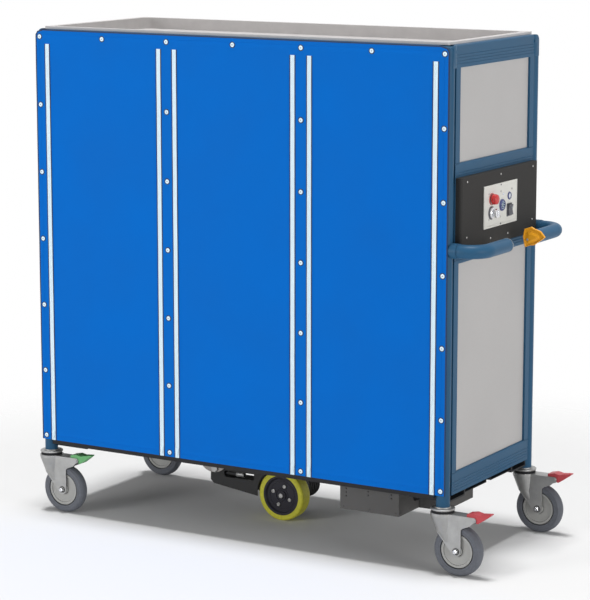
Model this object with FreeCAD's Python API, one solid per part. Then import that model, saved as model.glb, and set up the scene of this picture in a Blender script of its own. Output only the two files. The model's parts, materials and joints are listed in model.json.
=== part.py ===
"""Enclosed meal tray cart: a tube-posted, fabric-fronted trolley with a driven fifth wheel.

Millimetres. X runs along the cart, -Y is the fabric front, Z is up and the floor is z = 0.
"""
import FreeCAD
import Part
import math
import os

V = FreeCAD.Vector
X_DIR, Y_DIR, Z_DIR = V(1, 0, 0), V(0, 1, 0), V(0, 0, 1)

# ---------------------------------------------------------------- fits
SEAT = 0.1            # pieces of one body that rest on each other
GAP = 0.3             # pieces of different bodies
RUN_FIT = 0.06        # radial play of a pin in its bore

# ---------------------------------------------------------------- frame
FRAME_LENGTH = 1506.0
FRAME_DEPTH = 620.0
FRAME_TOP = 1602.0
POST_DIAMETER = 42.4
POST_WALL = 2.6
CAP_HEIGHT = 25.0
CAP_DROP = 18.0
RAIL_HEIGHT = 68.0
RAIL_DEPTH = 30.0
RAIL_WALL = 3.0
RAIL_LIFT = 34.0
UPPER_MID_RAIL = 1183.0
LOWER_MID_RAIL = 948.0
GROOVES = 4
GROOVE_WIDTH = 3.0
GROOVE_DEPTH = 1.4
GROOVE_PITCH = 9.0
GROOVE_START = 10.0
RAIL_EDGE = 5.0
STILE_WIDTH = 28.0
STILE_WALL = 2.5
PANEL_THICKNESS = 4.0
PANEL_INSET = 7.0
MULLION_WIDTH = 40.0

# ---------------------------------------------------------------- floor and inside
FLOOR_SHEET = 2.0
CHANNEL_HEIGHT = 15.0
CHANNEL_WIDTH = 150.0
CHANNEL_WALL = 2.5
CHANNEL_SPACING = 30.0
GUSSET_LENGTH = 140.0
GUSSET_DROP = 8.0
GUSSET_PLATE = 5.0
DIVIDER_SHEET = 2.0
MEAL_TRAY_WIDTH = 400.0
RUNNER_GRIP = 10.0
RUNNER_LEG = 10.0
RUNNER_SHEET = 1.5
RUNNER_LEVELS = 8
RUNNER_PITCH = 150.0
RUNNER_START = 27.0

# ---------------------------------------------------------------- top tray
TRAY_LIP = 8.0
TRAY_RIM_SIDE = 19.0
TRAY_RIM_FRONT = 24.0
TRAY_DEPTH = 37.0
TRAY_SHEET = 2.0
TRAY_CORNER = 25.0

# ---------------------------------------------------------------- fabric front
COVER_EDGE = 3.0
COVER_LIFT = 6.0
COVER_SHEET = 1.5
ZIP_COLUMN = 58.8
ZIP_END_MARGIN = 45.45
ZIP_WIDTH = 16.5
ZIP_THICKNESS = 1.2
ZIP_TOP_MARGIN = 47.0
COIL_WIDTH = 4.0
COIL_HEIGHT = 0.8
DOOR_EDGE_GAP = 0.5
STUD_DIAMETER = 16.0
STUD_HEIGHT = 2.6
STUD_TOP_MARGIN = 24.0
STUD_ROWS = 7
STUD_FOOT_MARGIN = 14.0
STUD_END_MARGIN = 16.0
SLIDER_LENGTH = 20.0
SLIDER_WIDTH = 12.0
SLIDER_SKIN = 1.4
PULL_LENGTH = 24.0
SLIDER_FOOT = 12.0

# ---------------------------------------------------------------- castors
WHEEL_DIAMETER = 160.0
WHEEL_CLEARANCE = 3.5
TYRE_WIDTH = 34.0
TYRE_DEPTH = 24.0
TYRE_GROOVE = 3.5
CASTOR_TRAIL = 56.0
CROWN_CLEARANCE = 32.0
CROWN_RADIUS = 38.5
CROWN_WALL = 9.0
CROWN_BLOCK = 14.0
NOSE_SIDES = 32
NOSE_RADIUS = 28.0
NOSE_X = 9.0
NOSE_RISE = 55.0
NOSE_FOOT_X = 26.0
NOSE_FOOT_RISE = 25.0
FORK_PLATE = 3.0
FORK_SIDE_GAP = 2.5
FORK_EYE = 16.0
LEG_LEAN = 39.4       # degrees from upright
ARM_START = 89.0
ARM_BELLY = 101.0
ARM_HEIGHT = 28.5
ARM_CORNER = 6.0
HEAD_RADIUS = 37.5
HEAD_PLATE = 6.0
HEAD_EDGE = 1.5
SEAL_HEIGHT = 8.0
SEAL_RADIUS = 34.5
KINGPIN_RADIUS = 7.0
AXLE_RADIUS = 6.0
BOLT_HEAD = 6.0
PEDAL_PIVOT = 114.0
PEDAL_DROP = 8.0
PEDAL_TIP_WIDTH = 18.0
PEDAL_TAPER_START = 12.0
PEDAL_PIN = 3.0
PEDAL_EYE = 6.6
# side view of the pedal, as (distance past its pivot, height above the fork)
PEDAL_SIDE = ((-24.0, -4.0), (-24.0, 8.0), (-2.0, 12.0), (16.0, 8.5), (54.0, 14.0), (52.0, 10.0),
              (14.0, -17.0), (8.0, -17.0), (5.0, -5.0))

# ---------------------------------------------------------------- drive unit
DRIVE_DIAMETER = 168.0
DRIVE_WIDTH = 50.0
DRIVE_TREAD = 18.0
DRIVE_SHAFT = 10.0
DRIVE_SHAFT_INSET = 10.0
DRIVE_HUB_INSET = 7.0
DRIVE_BOSS_RADIUS = 16.0
DRIVE_BOSS_HEIGHT = 4.0
DRIVE_BOLTS = 4
DRIVE_BOLT_TURN = 70.0
DRIVE_BOLT_HEAD = 3.0
DRIVE_SIDE_GAP = 2.5
TREAD_EDGE = 5.0
TREAD_CROWN = 7.0
ARM_WIDTH = 60.0
ARM_WALL = 4.0
ARM_LEFT = 269.0
ARM_RISE = 76.0
ARM_DROP = 13.0
ARM_SLOPE = 24.0
ARM_NECK = 32.0
ARM_SIDE_GAP = 3.0
SLOT_HEIGHT = 22.0
SLOT_LEFT = 218.0
SLOT_RIGHT = 100.0
SLOT_DROP = 27.0
PIVOT_X = -248.0
PIVOT_PIN = 8.0
SECTOR_RADIUS = 60.0
SECTOR_X = -255.0
SECTOR_DROP = 30.9
MOTOR_RADIUS = 40.0
MOTOR_LENGTH = 95.0
GEARBOX_SIZE = 104.0
GEARBOX_DEPTH = 34.0
MOTOR_FINS = 7
FIN_DEPTH = 2.5
STRUT_LEFT = 214.0
STRUT_RIGHT = 144.0
STRUT_RADIUS = 6.0
STRUT_HANGER = 4.0
STRUT_Y = -14.0
SPRING_X = -150.0
SPRING_RADIUS = 16.0
SPRING_WIRE = 3.0     # radius of the wire
SPRING_TURNS = 4
SPRING_SAMPLES = 48

# ---------------------------------------------------------------- boxes under the floor
BATTERY_LENGTH = 209.0
BATTERY_SETBACK = 80.0
BATTERY_DEPTH = 134.0
BOX_HEIGHT = 88.8
BOX_SHEET = 2.0
BOX_SPACING = 6.0
BOX_END_GAP = 110.0
CONTROLLER_LENGTH = 85.0
CONTROLLER_DEPTH = 196.0
VENT_RADIUS = 2.2
VENT_PITCH = 12.0
VENT_DROP = 22.0
VENT_COLUMNS = (22.0, 101.0, 182.0)
BOX_KNOB_RISE = 33.0
BOX_KNOB_INSET = 23.0

# ---------------------------------------------------------------- control end
COVER_BOX_DEPTH = 20.0
COVER_BOX_MARGIN = 45.0
COVER_BOX_FOOT = 37.0
COVER_BOX_HEAD = 25.0
COVER_BOX_SHEET = 2.0
COVER_BOX_EDGE = 7.0
PLATE_WIDTH = 228.0
PLATE_Y = -4.0
PLATE_HEIGHT = 130.0
PLATE_SHEET = 1.5
PLATE_RIM = 5.0
PLATE_RISE = 117.0
# places on the plate, as (y, height above its middle)
ESTOP_PLACE = (-64.0, 22.0)
KEY_PLACE = (-66.0, -20.0)
SOCKET_PLACE = (6.0, -4.0)
ROCKER_PLACE = (57.0, -24.0)
RING_LAMP_PLACE = (57.0, 19.0)
LAMP_PLACE = (15.0, 29.0)
ESTOP_RADIUS = 16.0
ESTOP_HEAD = 14.0
ESTOP_TRAVEL = 5.0
KNOB_RADIUS = 17.0
KNOB_HEIGHT = 16.0
SWITCH_STEM = 6.0
SOCKET_RADIUS = 18.0
SOCKET_HEIGHT = 5.0
ROCKER_WIDTH = 26.0
ROCKER_HEIGHT = 32.0
ROCKER_STAND = 9.0
ROCKER_DISH = 3.0
ROCKER_ROOT = 8.0
STEM_LENGTH = 15.0
RING_LAMP_RADIUS = 9.0
LAMP_RADIUS = 4.0
LAMP_HEIGHT = 3.0
SCREW_RADIUS = 3.2
SCREW_HEIGHT = 1.8
COVER_SCREW_INSET = 37.0
COVER_SCREW_HEAD = 14.0
COVER_SCREW_FOOT = 42.0
COVER_SCREW_LOW = 20.0
PLATE_SCREW_INSET = 26.0
PLATE_SCREW_COLUMNS = (-82.0, -2.0, 75.0)
HANDLE_RISE = 46.0
HANDLE_STAND = 95.0
HANDLE_BEND = 60.0
HANDLE_COLLAR = 24.0
COLLAR_RADIUS = 23.0
FRONT_HANDLE_RUN = 180.8
REAR_HANDLE_RUN = 228.8
PLUG_HEIGHT = 3.0
PLUG_EDGE = 1.2
LEVER_LENGTH = 34.0
LEVER_CAP = 3.0
LEVER_SKIN = 3.0
# section of the lever, as (x, z) from the bar's axis
LEVER_SECTION = ((-18.2, -29.3), (-25.0, 1.3), (-20.1, 27.0), (2.6, 35.0), (13.0, 29.5), (34.0, 23.0),
                 (48.9, 5.6), (42.2, -0.7), (20.7, -15.3))

# ---------------------------------------------------------------- worked out
WHEEL_R = WHEEL_DIAMETER / 2
HUB_R = WHEEL_R - TYRE_DEPTH
FORK_INNER = TYRE_WIDTH / 2 + FORK_SIDE_GAP
FORK_OUTER = FORK_INNER + FORK_PLATE
FORK_TOP = WHEEL_DIAMETER + CROWN_CLEARANCE
POST_BOTTOM = FORK_TOP + SEAL_HEIGHT + HEAD_PLATE
PEDAL_Z = FORK_TOP - PEDAL_DROP
PEDAL_REACH = PEDAL_PIVOT + max(x for x, z in PEDAL_SIDE)
POST_R = POST_DIAMETER / 2
POST_X = FRAME_LENGTH / 2 - POST_R
POST_Y = FRAME_DEPTH / 2 - POST_R
FRONT = -FRAME_DEPTH / 2
COVER_LENGTH = FRAME_LENGTH - 2 * COVER_EDGE
RIGHT = COVER_LENGTH / 2
RAIL_X = POST_X - POST_R - SEAT
RAIL_Y = POST_Y - POST_R - SEAT
TOP_RAIL = FRAME_TOP - RAIL_HEIGHT
RAIL_BOTTOM = POST_BOTTOM + RAIL_LIFT
LOW_OPENING = RAIL_BOTTOM + RAIL_HEIGHT
CHANNEL_TOP = RAIL_BOTTOM - SEAT
CHANNEL_BOTTOM = CHANNEL_TOP - CHANNEL_HEIGHT
UNDERSIDE = CHANNEL_BOTTOM - SEAT
COVER_BOTTOM = RAIL_BOTTOM + COVER_LIFT
COVER_BACK = FRONT - SEAT
COVER_FACE = COVER_BACK - COVER_SHEET
DOOR_PITCH = (COVER_LENGTH / 2 + ZIP_COLUMN / 2 - ZIP_END_MARGIN) / 1.5
ZIP_SPACING = DOOR_PITCH - ZIP_COLUMN
MULLION_X = DOOR_PITCH / 2
DRIVE_R = DRIVE_DIAMETER / 2
ARM_TOP = DRIVE_R + ARM_RISE
ARM_FOOT = DRIVE_R - ARM_DROP
PIVOT_Z = ARM_TOP - ARM_WALL - PIVOT_PIN - GAP
SLOT_LEVEL = ARM_TOP - SLOT_DROP
SECTOR_Z = CHANNEL_BOTTOM - SECTOR_DROP
BATTERY_X = RIGHT - BOX_END_GAP - CONTROLLER_LENGTH - BOX_SPACING - BATTERY_LENGTH
BATTERY_FRONT = FRONT + BATTERY_SETBACK
BOX_BOTTOM = UNDERSIDE - BOX_HEIGHT
COVER_BOX_WIDTH = FRAME_DEPTH - 2 * COVER_BOX_MARGIN
COVER_BOX_BOTTOM = LOWER_MID_RAIL + COVER_BOX_FOOT
COVER_BOX_TOP = UPPER_MID_RAIL + COVER_BOX_HEAD
COVER_BOX_FACE = RIGHT + SEAT + COVER_BOX_DEPTH
PLATE_LEVEL = COVER_BOX_BOTTOM + PLATE_RISE
PLATE_FACE = COVER_BOX_FACE + SEAT + PLATE_SHEET
HANDLE_LEVEL = LOWER_MID_RAIL + HANDLE_RISE
HANDLE_REACH = RIGHT + HANDLE_STAND
FRONT_HANDLE_END = FRONT_HANDLE_RUN - POST_Y
REAR_HANDLE_END = POST_Y - REAR_HANDLE_RUN
# the origin lies under the middle of the whole cart: pedals on the right, castor crowns on the left
ORIGIN_X = (PEDAL_REACH - CROWN_RADIUS) / 2


# ---------------------------------------------------------------- helpers
def box(x0, x1, y0, y1, z0, z1):
    return Part.makeBox(x1 - x0, y1 - y0, z1 - z0, V(x0, y0, z0))


def rod(radius, start, end):
    return Part.makeCylinder(radius, (end - start).Length, start, end - start)


def tube(outer, inner, start, end):
    return rod(outer, start, end).cut(rod(inner, start, end))


def sheet(points):
    return Part.Face(Part.makePolygon(points + points[:1]))


def slab(points, direction):
    return sheet(points).extrude(direction)


def side_slab(outline, y0, y1):
    """Outline given as (x, z), thickened along Y."""
    return slab([V(x, y0, z) for x, z in outline], V(0, y1 - y0, 0))


def end_slab(outline, x0, x1):
    """Outline given as (y, z), thickened along X."""
    return slab([V(x0, y, z) for y, z in outline], V(x1 - x0, 0, 0))


def plan_slab(outline, z0, z1):
    """Outline given as (x, y), thickened along Z."""
    return slab([V(x, y, z0) for x, y in outline], V(0, 0, z1 - z0))


def turned(outline, centre, axis):
    """Outline given as (radius, height), turned round the axis through centre."""
    shape = sheet([V(r, 0, h) for r, h in outline]).revolve(V(0, 0, 0), Z_DIR, 360)
    shape.Placement = FreeCAD.Placement(centre, FreeCAD.Rotation(Z_DIR, axis))
    return shape


def moved(shape, x=0.0, y=0.0, z=0.0):
    result = shape.copy()
    result.translate(V(x, y, z))
    return result


def mirrored(shape, normal):
    return shape.mirror(V(0, 0, 0), normal)


def both_ways(shape, normal):
    return [shape, mirrored(shape, normal)]


def four_corners(shape):
    return [turn for half in both_ways(shape, X_DIR) for turn in both_ways(half, Y_DIR)]


def save(name, shapes):
    whole = Part.makeCompound(shapes) if len(shapes) > 1 else shapes[0]
    moved(whole, -ORIGIN_X).exportStep("parts/" + name + ".step")


# ---------------------------------------------------------------- frame
def top_corner(x_in, x_out, top, drop):
    """Outline of a piece whose outer top edge is eased, as (across, height)."""
    ease = (x_out - x_in) * 0.75
    knee = x_out - ease * 0.25
    return [(x_out - ease, top), (knee, top - drop * 0.35), (x_out, top - drop)]


def corner_posts():
    post = tube(POST_R, POST_R - POST_WALL, V(POST_X, POST_Y, POST_BOTTOM + SEAT),
                V(POST_X, POST_Y, FRAME_TOP - CAP_HEIGHT))
    base = FRAME_TOP - CAP_HEIGHT + SEAT
    x_in = POST_X - POST_R
    y_in = POST_Y - POST_R
    x_out = POST_X + POST_R
    y_out = POST_Y + POST_R
    side = [(x_out, base), (x_in, base), (x_in, FRAME_TOP)]
    side += top_corner(x_in, x_out, FRAME_TOP, CAP_DROP)
    end = [(y_out, base), (y_in, base), (y_in, FRAME_TOP)]
    end += top_corner(y_in, y_out, FRAME_TOP, CAP_DROP)
    cap = side_slab(side, y_in, y_out).common(end_slab(end, x_in, x_out))
    drum = rod(POST_R, V(POST_X, POST_Y, base), V(POST_X, POST_Y, FRAME_TOP))
    inner = box(x_in, POST_X, y_in, y_out, base, FRAME_TOP)
    inner = inner.fuse(box(x_in, x_out, y_in, POST_Y, base, FRAME_TOP))
    cap = cap.common(drum.fuse(inner))
    return four_corners(post) + four_corners(cap)


def rail(length):
    """Hollow grooved rail along X; its outer face is y = 0 and looks to -Y."""
    outline = [V(0, 0, 0)]
    for number in range(GROOVES):
        foot = GROOVE_START + number * GROOVE_PITCH
        outline += [V(0, 0, foot), V(0, GROOVE_DEPTH, foot + GROOVE_WIDTH / 2)]
        outline += [V(0, 0, foot + GROOVE_WIDTH)]
    outline += [V(0, 0, RAIL_HEIGHT - RAIL_EDGE), V(0, RAIL_EDGE * 0.3, RAIL_HEIGHT - RAIL_EDGE * 0.3)]
    outline += [V(0, RAIL_EDGE, RAIL_HEIGHT), V(0, RAIL_DEPTH, RAIL_HEIGHT), V(0, RAIL_DEPTH, 0)]
    hollow_top = RAIL_HEIGHT - RAIL_WALL
    hollow = [V(0, y, z) for y, z in ((RAIL_WALL, RAIL_WALL), (RAIL_WALL, hollow_top - RAIL_EDGE * 0.5),
                                      (RAIL_EDGE + 1, hollow_top), (RAIL_DEPTH - RAIL_WALL, hollow_top),
                                      (RAIL_DEPTH - RAIL_WALL, RAIL_WALL))]
    section = sheet(outline).cut(sheet(hollow))
    return moved(section.extrude(V(length, 0, 0)), -length / 2)


def long_rails(level):
    return both_ways(moved(rail(2 * RAIL_X), 0, FRONT, level), Y_DIR)


def end_rail(level):
    shape = rail(2 * RAIL_Y)
    shape.rotate(V(0, 0, 0), Z_DIR, 90)
    return moved(shape, RIGHT, 0, level)


def end_frame(levels):
    """Rails at the given levels with hollow stiles between them, at the right end."""
    frame = [end_rail(level) for level in levels]
    back = RIGHT - RAIL_DEPTH
    for below, above in zip(levels[:-1], levels[1:]):
        foot = below + RAIL_HEIGHT + SEAT
        head = above - SEAT
        stile = box(back, RIGHT, RAIL_Y - STILE_WIDTH, RAIL_Y, foot, head)
        hollow = box(back + STILE_WALL, RIGHT - STILE_WALL, RAIL_Y - STILE_WIDTH + STILE_WALL,
                     RAIL_Y - STILE_WALL, foot, head)
        frame += both_ways(stile.cut(hollow), Y_DIR)
    return frame


def end_panels(levels):
    half = RAIL_Y - STILE_WIDTH - SEAT
    face = RIGHT - PANEL_INSET
    return [box(face - PANEL_THICKNESS, face, -half, half, below + RAIL_HEIGHT + SEAT, above - SEAT)
            for below, above in zip(levels[:-1], levels[1:])]


def mullions():
    inner = FRONT + RAIL_DEPTH
    foot = LOW_OPENING + SEAT
    head = TOP_RAIL - SEAT
    half = MULLION_WIDTH / 2
    bar = box(MULLION_X - half, MULLION_X + half, FRONT, inner, foot, head)
    bar = bar.cut(box(MULLION_X - half + RAIL_WALL, MULLION_X + half - RAIL_WALL, FRONT + RAIL_WALL,
                      inner - RAIL_WALL, foot, head))
    return four_corners(bar)


def back_panels():
    face = -FRONT - PANEL_INSET
    foot = LOW_OPENING + SEAT
    head = TOP_RAIL - SEAT
    near = MULLION_X + MULLION_WIDTH / 2 + SEAT
    middle = MULLION_X - MULLION_WIDTH / 2 - SEAT
    side = box(near, RAIL_X, face - PANEL_THICKNESS, face, foot, head)
    return both_ways(side, X_DIR) + [box(-middle, middle, face - PANEL_THICKNESS, face, foot, head)]


# ---------------------------------------------------------------- floor and inside
def base_plate():
    """Floor sheet, notched round the corner posts."""
    half_x = RIGHT - RAIL_DEPTH - SEAT
    half_y = -FRONT - RAIL_DEPTH - SEAT
    top = RAIL_BOTTOM + FLOOR_SHEET
    plate = box(-RAIL_X, RAIL_X, -half_y, half_y, RAIL_BOTTOM, top)
    return [plate.fuse(box(-half_x, half_x, -RAIL_Y, RAIL_Y, RAIL_BOTTOM, top)).removeSplitter()]


def cross_members():
    half_x = RIGHT - PANEL_INSET
    near = CHANNEL_SPACING / 2
    far = near + CHANNEL_WIDTH
    channel = box(-half_x, half_x, near, far, CHANNEL_BOTTOM, CHANNEL_TOP)
    channel = channel.cut(box(-half_x, half_x, near + CHANNEL_WALL, far - CHANNEL_WALL,
                              CHANNEL_BOTTOM + CHANNEL_WALL, CHANNEL_TOP))
    gusset = box(half_x - GUSSET_LENGTH, half_x, far + SEAT, RAIL_Y, CHANNEL_BOTTOM - GUSSET_DROP,
                 CHANNEL_TOP)
    gusset = gusset.cut(box(half_x - GUSSET_LENGTH, half_x, far + SEAT + GUSSET_PLATE, RAIL_Y - GUSSET_PLATE,
                            CHANNEL_BOTTOM - GUSSET_DROP + GUSSET_PLATE, CHANNEL_TOP))
    return both_ways(channel, Y_DIR) + four_corners(gusset)


def divider_height():
    return FRAME_TOP - TRAY_DEPTH + TRAY_LIP - TRAY_SHEET - SEAT


def dividers():
    foot = RAIL_BOTTOM + FLOOR_SHEET + SEAT
    half = -FRONT - RAIL_DEPTH - SEAT
    sheet = box(MULLION_X - DIVIDER_SHEET / 2, MULLION_X + DIVIDER_SHEET / 2, -half, half, foot,
                divider_height())
    return both_ways(sheet, X_DIR)


def tray_runners():
    """Folded ledges, leg down, whose tips carry a meal tray centred on its door."""
    middle = MULLION_X - DIVIDER_SHEET / 2 - SEAT
    outer = MULLION_X + DIVIDER_SHEET / 2 + SEAT
    wall = RIGHT - RAIL_DEPTH - SEAT
    reach = MEAL_TRAY_WIDTH / 2 - RUNNER_GRIP
    skin = RUNNER_SHEET
    runners = []
    for face, tip in ((middle, reach), (outer, DOOR_PITCH - reach), (wall, DOOR_PITCH + reach)):
        inner = face + math.copysign(skin, tip - face)
        for level in range(RUNNER_LEVELS):
            top = LOW_OPENING + RUNNER_START + level * RUNNER_PITCH
            foot = top - RUNNER_LEG
            angle = [(face, top), (tip, top), (tip, top - skin), (inner, top - skin), (inner, foot)]
            angle.append((face, foot))
            runners += both_ways(side_slab(angle, -RAIL_Y, RAIL_Y), X_DIR)
    return runners


def rounded_block(half_x, half_y, z0, z1, radius):
    block = box(-half_x, half_x, -half_y, half_y, z0, z1)
    return block.makeFillet(radius, [edge for edge in block.Edges if abs(edge.tangentAt(0).z) > 0.9])


def top_tray():
    rim_top = FRAME_TOP + TRAY_LIP
    floor = rim_top - TRAY_DEPTH
    pan_x = RAIL_X - SEAT
    pan_y = RAIL_Y - SEAT
    pan = rounded_block(pan_x, pan_y, floor - TRAY_SHEET, FRAME_TOP + SEAT, TRAY_CORNER + TRAY_SHEET)
    rim = rounded_block(FRAME_LENGTH / 2 - TRAY_RIM_SIDE, FRAME_DEPTH / 2 - TRAY_RIM_FRONT,
                        FRAME_TOP + SEAT, rim_top, TRAY_LIP)
    hollow = rounded_block(pan_x - TRAY_SHEET, pan_y - TRAY_SHEET, floor, rim_top, TRAY_CORNER)
    return [pan.fuse(rim).cut(hollow).removeSplitter()]


# ---------------------------------------------------------------- fabric front
def door_centres():
    return (-DOOR_PITCH, 0.0, DOOR_PITCH)


def zip_top():
    return FRAME_TOP - ZIP_TOP_MARGIN


def front_cover():
    x_out = COVER_LENGTH / 2
    x_in = POST_X - POST_R
    arc = top_corner(x_in, x_out, FRAME_TOP, CAP_DROP)
    outline = [(-x, z) for x, z in reversed(arc)] + arc
    outline += [(x_out, COVER_BOTTOM), (-x_out, COVER_BOTTOM)]
    sheet = side_slab(outline, COVER_FACE, COVER_BACK)
    half = (ZIP_SPACING - ZIP_WIDTH) / 2
    for centre in door_centres():
        sheet = sheet.cut(box(centre - half, centre + half, COVER_FACE, COVER_BACK, COVER_BOTTOM, zip_top()))
    return [sheet]


def door(centre):
    half = (ZIP_SPACING - ZIP_WIDTH) / 2 - DOOR_EDGE_GAP
    return [box(centre - half, centre + half, COVER_FACE, COVER_BACK, COVER_BOTTOM,
                zip_top() - DOOR_EDGE_GAP)]


def zip_positions(centre):
    return (centre - ZIP_SPACING / 2, centre + ZIP_SPACING / 2)


def zip_tapes():
    back = COVER_FACE - SEAT
    face = back - ZIP_THICKNESS
    tapes = []
    for centre in door_centres():
        for x in zip_positions(centre):
            tape = box(x - ZIP_WIDTH / 2, x + ZIP_WIDTH / 2, face, back, COVER_BOTTOM, zip_top())
            coil = box(x - COIL_WIDTH / 2, x + COIL_WIDTH / 2, face - COIL_HEIGHT, face, COVER_BOTTOM,
                       zip_top())
            tapes.append(tape.fuse(coil).removeSplitter())
    return tapes


def zip_sliders(centre):
    """Two low sliders that straddle the coils, each with a flat pull."""
    face = COVER_FACE - SEAT - ZIP_THICKNESS - GAP
    outer = face - COIL_HEIGHT - SLIDER_SKIN
    foot = COVER_BOTTOM + SLIDER_FOOT
    sliders = []
    for x in zip_positions(centre):
        half = SLIDER_WIDTH / 2
        body = box(x - half, x + half, outer, face, foot, foot + SLIDER_LENGTH)
        body = body.cut(box(x - COIL_WIDTH / 2 - GAP, x + COIL_WIDTH / 2 + GAP, face - COIL_HEIGHT, face,
                            foot, foot + SLIDER_LENGTH))
        pull_top = foot + SLIDER_LENGTH
        pull = box(x - half / 2, x + half / 2, outer - SLIDER_SKIN, outer, pull_top - PULL_LENGTH, pull_top)
        sliders.append(body.fuse(pull).removeSplitter())
    return sliders


def cover_studs():
    head = FRAME_TOP - STUD_TOP_MARGIN
    foot = COVER_BOTTOM + STUD_FOOT_MARGIN
    end = COVER_LENGTH / 2 - STUD_END_MARGIN
    radius = STUD_DIAMETER / 2
    dome = [(0, 0), (radius, 0), (radius, STUD_HEIGHT * 0.35), (radius * 0.72, STUD_HEIGHT), (0, STUD_HEIGHT)]
    stud = turned(dome, V(0, COVER_FACE - SEAT, 0), V(0, -1, 0))
    studs = []
    for x in (-end, -MULLION_X, MULLION_X, end):
        for row in range(STUD_ROWS):
            studs.append(moved(stud, x, 0, foot + row * (head - foot) / (STUD_ROWS - 1)))
    return studs + [moved(stud, x, 0, head) for x in (-(end + MULLION_X) / 2, 0, (end + MULLION_X) / 2)]


# ---------------------------------------------------------------- castors, each built round its swivel axis
def castor_heads():
    foot = POST_BOTTOM - HEAD_PLATE
    rim = HEAD_RADIUS - HEAD_EDGE
    plate = turned([(0, 0), (rim, 0), (HEAD_RADIUS, HEAD_EDGE), (HEAD_RADIUS, HEAD_PLATE - HEAD_EDGE),
                    (rim, HEAD_PLATE), (0, HEAD_PLATE)], V(0, 0, foot), Z_DIR)
    stem = rod(POST_R - POST_WALL - SEAT, V(0, 0, POST_BOTTOM), V(0, 0, POST_BOTTOM + POST_DIAMETER))
    nut_top = FORK_TOP - CROWN_BLOCK - GAP
    nut_foot = nut_top - KINGPIN_RADIUS
    pin = rod(KINGPIN_RADIUS, V(0, 0, nut_foot), V(0, 0, POST_BOTTOM))
    nut = rod(KINGPIN_RADIUS * 1.6, V(0, 0, nut_foot), V(0, 0, nut_top))
    head = plate.fuse([stem, pin, nut]).removeSplitter()
    return four_corners(moved(head, POST_X, POST_Y))


def swivel_seals():
    ring = tube(SEAL_RADIUS, KINGPIN_RADIUS + SEAT, V(0, 0, FORK_TOP + GAP),
                V(0, 0, POST_BOTTOM - HEAD_PLATE - SEAT))
    return four_corners(moved(ring, POST_X, POST_Y))


def ring(radius, x, z):
    """Many-sided outline round (x, 0) at height z."""
    turns = [math.radians(360 * side / NOSE_SIDES) for side in range(NOSE_SIDES)]
    points = [V(x + radius * math.cos(turn), radius * math.sin(turn), z) for turn in turns]
    return Part.makePolygon(points + points[:1])


def fork_nose(skin):
    """Skewed cone from the crown down to the legs, skin millimetres inside the outer face."""
    rings = [ring(CROWN_RADIUS - skin, 0, FORK_TOP - CROWN_WALL),
             ring(NOSE_RADIUS - skin, NOSE_X, WHEEL_R + NOSE_RISE),
             ring(FORK_OUTER - skin, NOSE_FOOT_X, WHEEL_R + NOSE_FOOT_RISE)]
    return Part.makeLoft(rings, True, True)


def fork_side():
    """Outline of one cheek: front edge touching the eye, the leg, and the arm that holds the pedal."""
    lean = math.radians(LEG_LEAN)
    foot_x = CASTOR_TRAIL - FORK_EYE * math.cos(lean)
    foot_z = WHEEL_R - FORK_EYE * math.sin(lean)
    nose_z = WHEEL_R + NOSE_RISE
    heel = CASTOR_TRAIL + FORK_EYE
    belly = FORK_TOP - ARM_HEIGHT
    return [(foot_x, foot_z), (CASTOR_TRAIL, WHEEL_R), (heel, WHEEL_R), (heel, belly - 2.5 * ARM_CORNER),
            (heel + ARM_CORNER, belly - 1.5 * ARM_CORNER), (ARM_BELLY, belly),
            (PEDAL_PIVOT, PEDAL_Z - PEDAL_DROP), (PEDAL_PIVOT, FORK_TOP), (0, FORK_TOP),
            (0, FORK_TOP - CROWN_WALL), (foot_x - (nose_z - foot_z) * math.tan(lean), nose_z)]


def across(radius, x, z, half):
    return rod(radius, V(x, -half, z), V(x, half, z))


def fork():
    crown_foot = FORK_TOP - CROWN_WALL
    shell = fork_nose(0).cut(fork_nose(FORK_PLATE))
    shell = shell.cut(box(NOSE_X, 2 * CROWN_RADIUS, -FORK_INNER, FORK_INNER, 0, crown_foot))
    cheeks = side_slab(fork_side(), -FORK_OUTER, FORK_OUTER)
    cheeks = cheeks.fuse([across(FORK_EYE, CASTOR_TRAIL, WHEEL_R, FORK_OUTER),
                          across(PEDAL_DROP, PEDAL_PIVOT, PEDAL_Z, FORK_OUTER)])
    end = PEDAL_PIVOT + PEDAL_DROP
    cheeks = cheeks.cut(box(-CROWN_RADIUS, end, -FORK_INNER, FORK_INNER, 0, FORK_TOP - FORK_PLATE))
    cheeks = cheeks.cut(box(ARM_START, end, -FORK_INNER, FORK_INNER, 0, FORK_TOP))
    crown = rod(CROWN_RADIUS, V(0, 0, crown_foot), V(0, 0, FORK_TOP))
    block = rod(CROWN_RADIUS / 2, V(0, 0, FORK_TOP - CROWN_BLOCK), V(0, 0, FORK_TOP))
    shell = shell.fuse([cheeks, crown, block])
    shell = shell.cut(across(WHEEL_R + WHEEL_CLEARANCE, CASTOR_TRAIL, WHEEL_R, FORK_INNER))
    shell = shell.cut(rod(KINGPIN_RADIUS + RUN_FIT, V(0, 0, 0), V(0, 0, FORK_TOP)))
    shell = shell.cut(across(AXLE_RADIUS + RUN_FIT, CASTOR_TRAIL, WHEEL_R, FORK_OUTER))
    shell = shell.cut(across(PEDAL_PIN + RUN_FIT, PEDAL_PIVOT, PEDAL_Z, FORK_OUTER))
    return [shell.removeSplitter(), cross_bolt(CASTOR_TRAIL, WHEEL_R, AXLE_RADIUS, BOLT_HEAD),
            cross_bolt(PEDAL_PIVOT, PEDAL_Z, PEDAL_PIN, BOLT_HEAD / 3)]


def cross_bolt(x, z, radius, head):
    """Bolt through both fork cheeks with a head at each end."""
    outer = FORK_OUTER + SEAT
    bolt = rod(radius, V(x, -outer, z), V(x, outer, z))
    for side in (-1, 1):
        bolt = bolt.fuse(rod(radius * 1.6, V(x, side * outer, z), V(x, side * (outer + head), z)))
    return bolt.removeSplitter()


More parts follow.
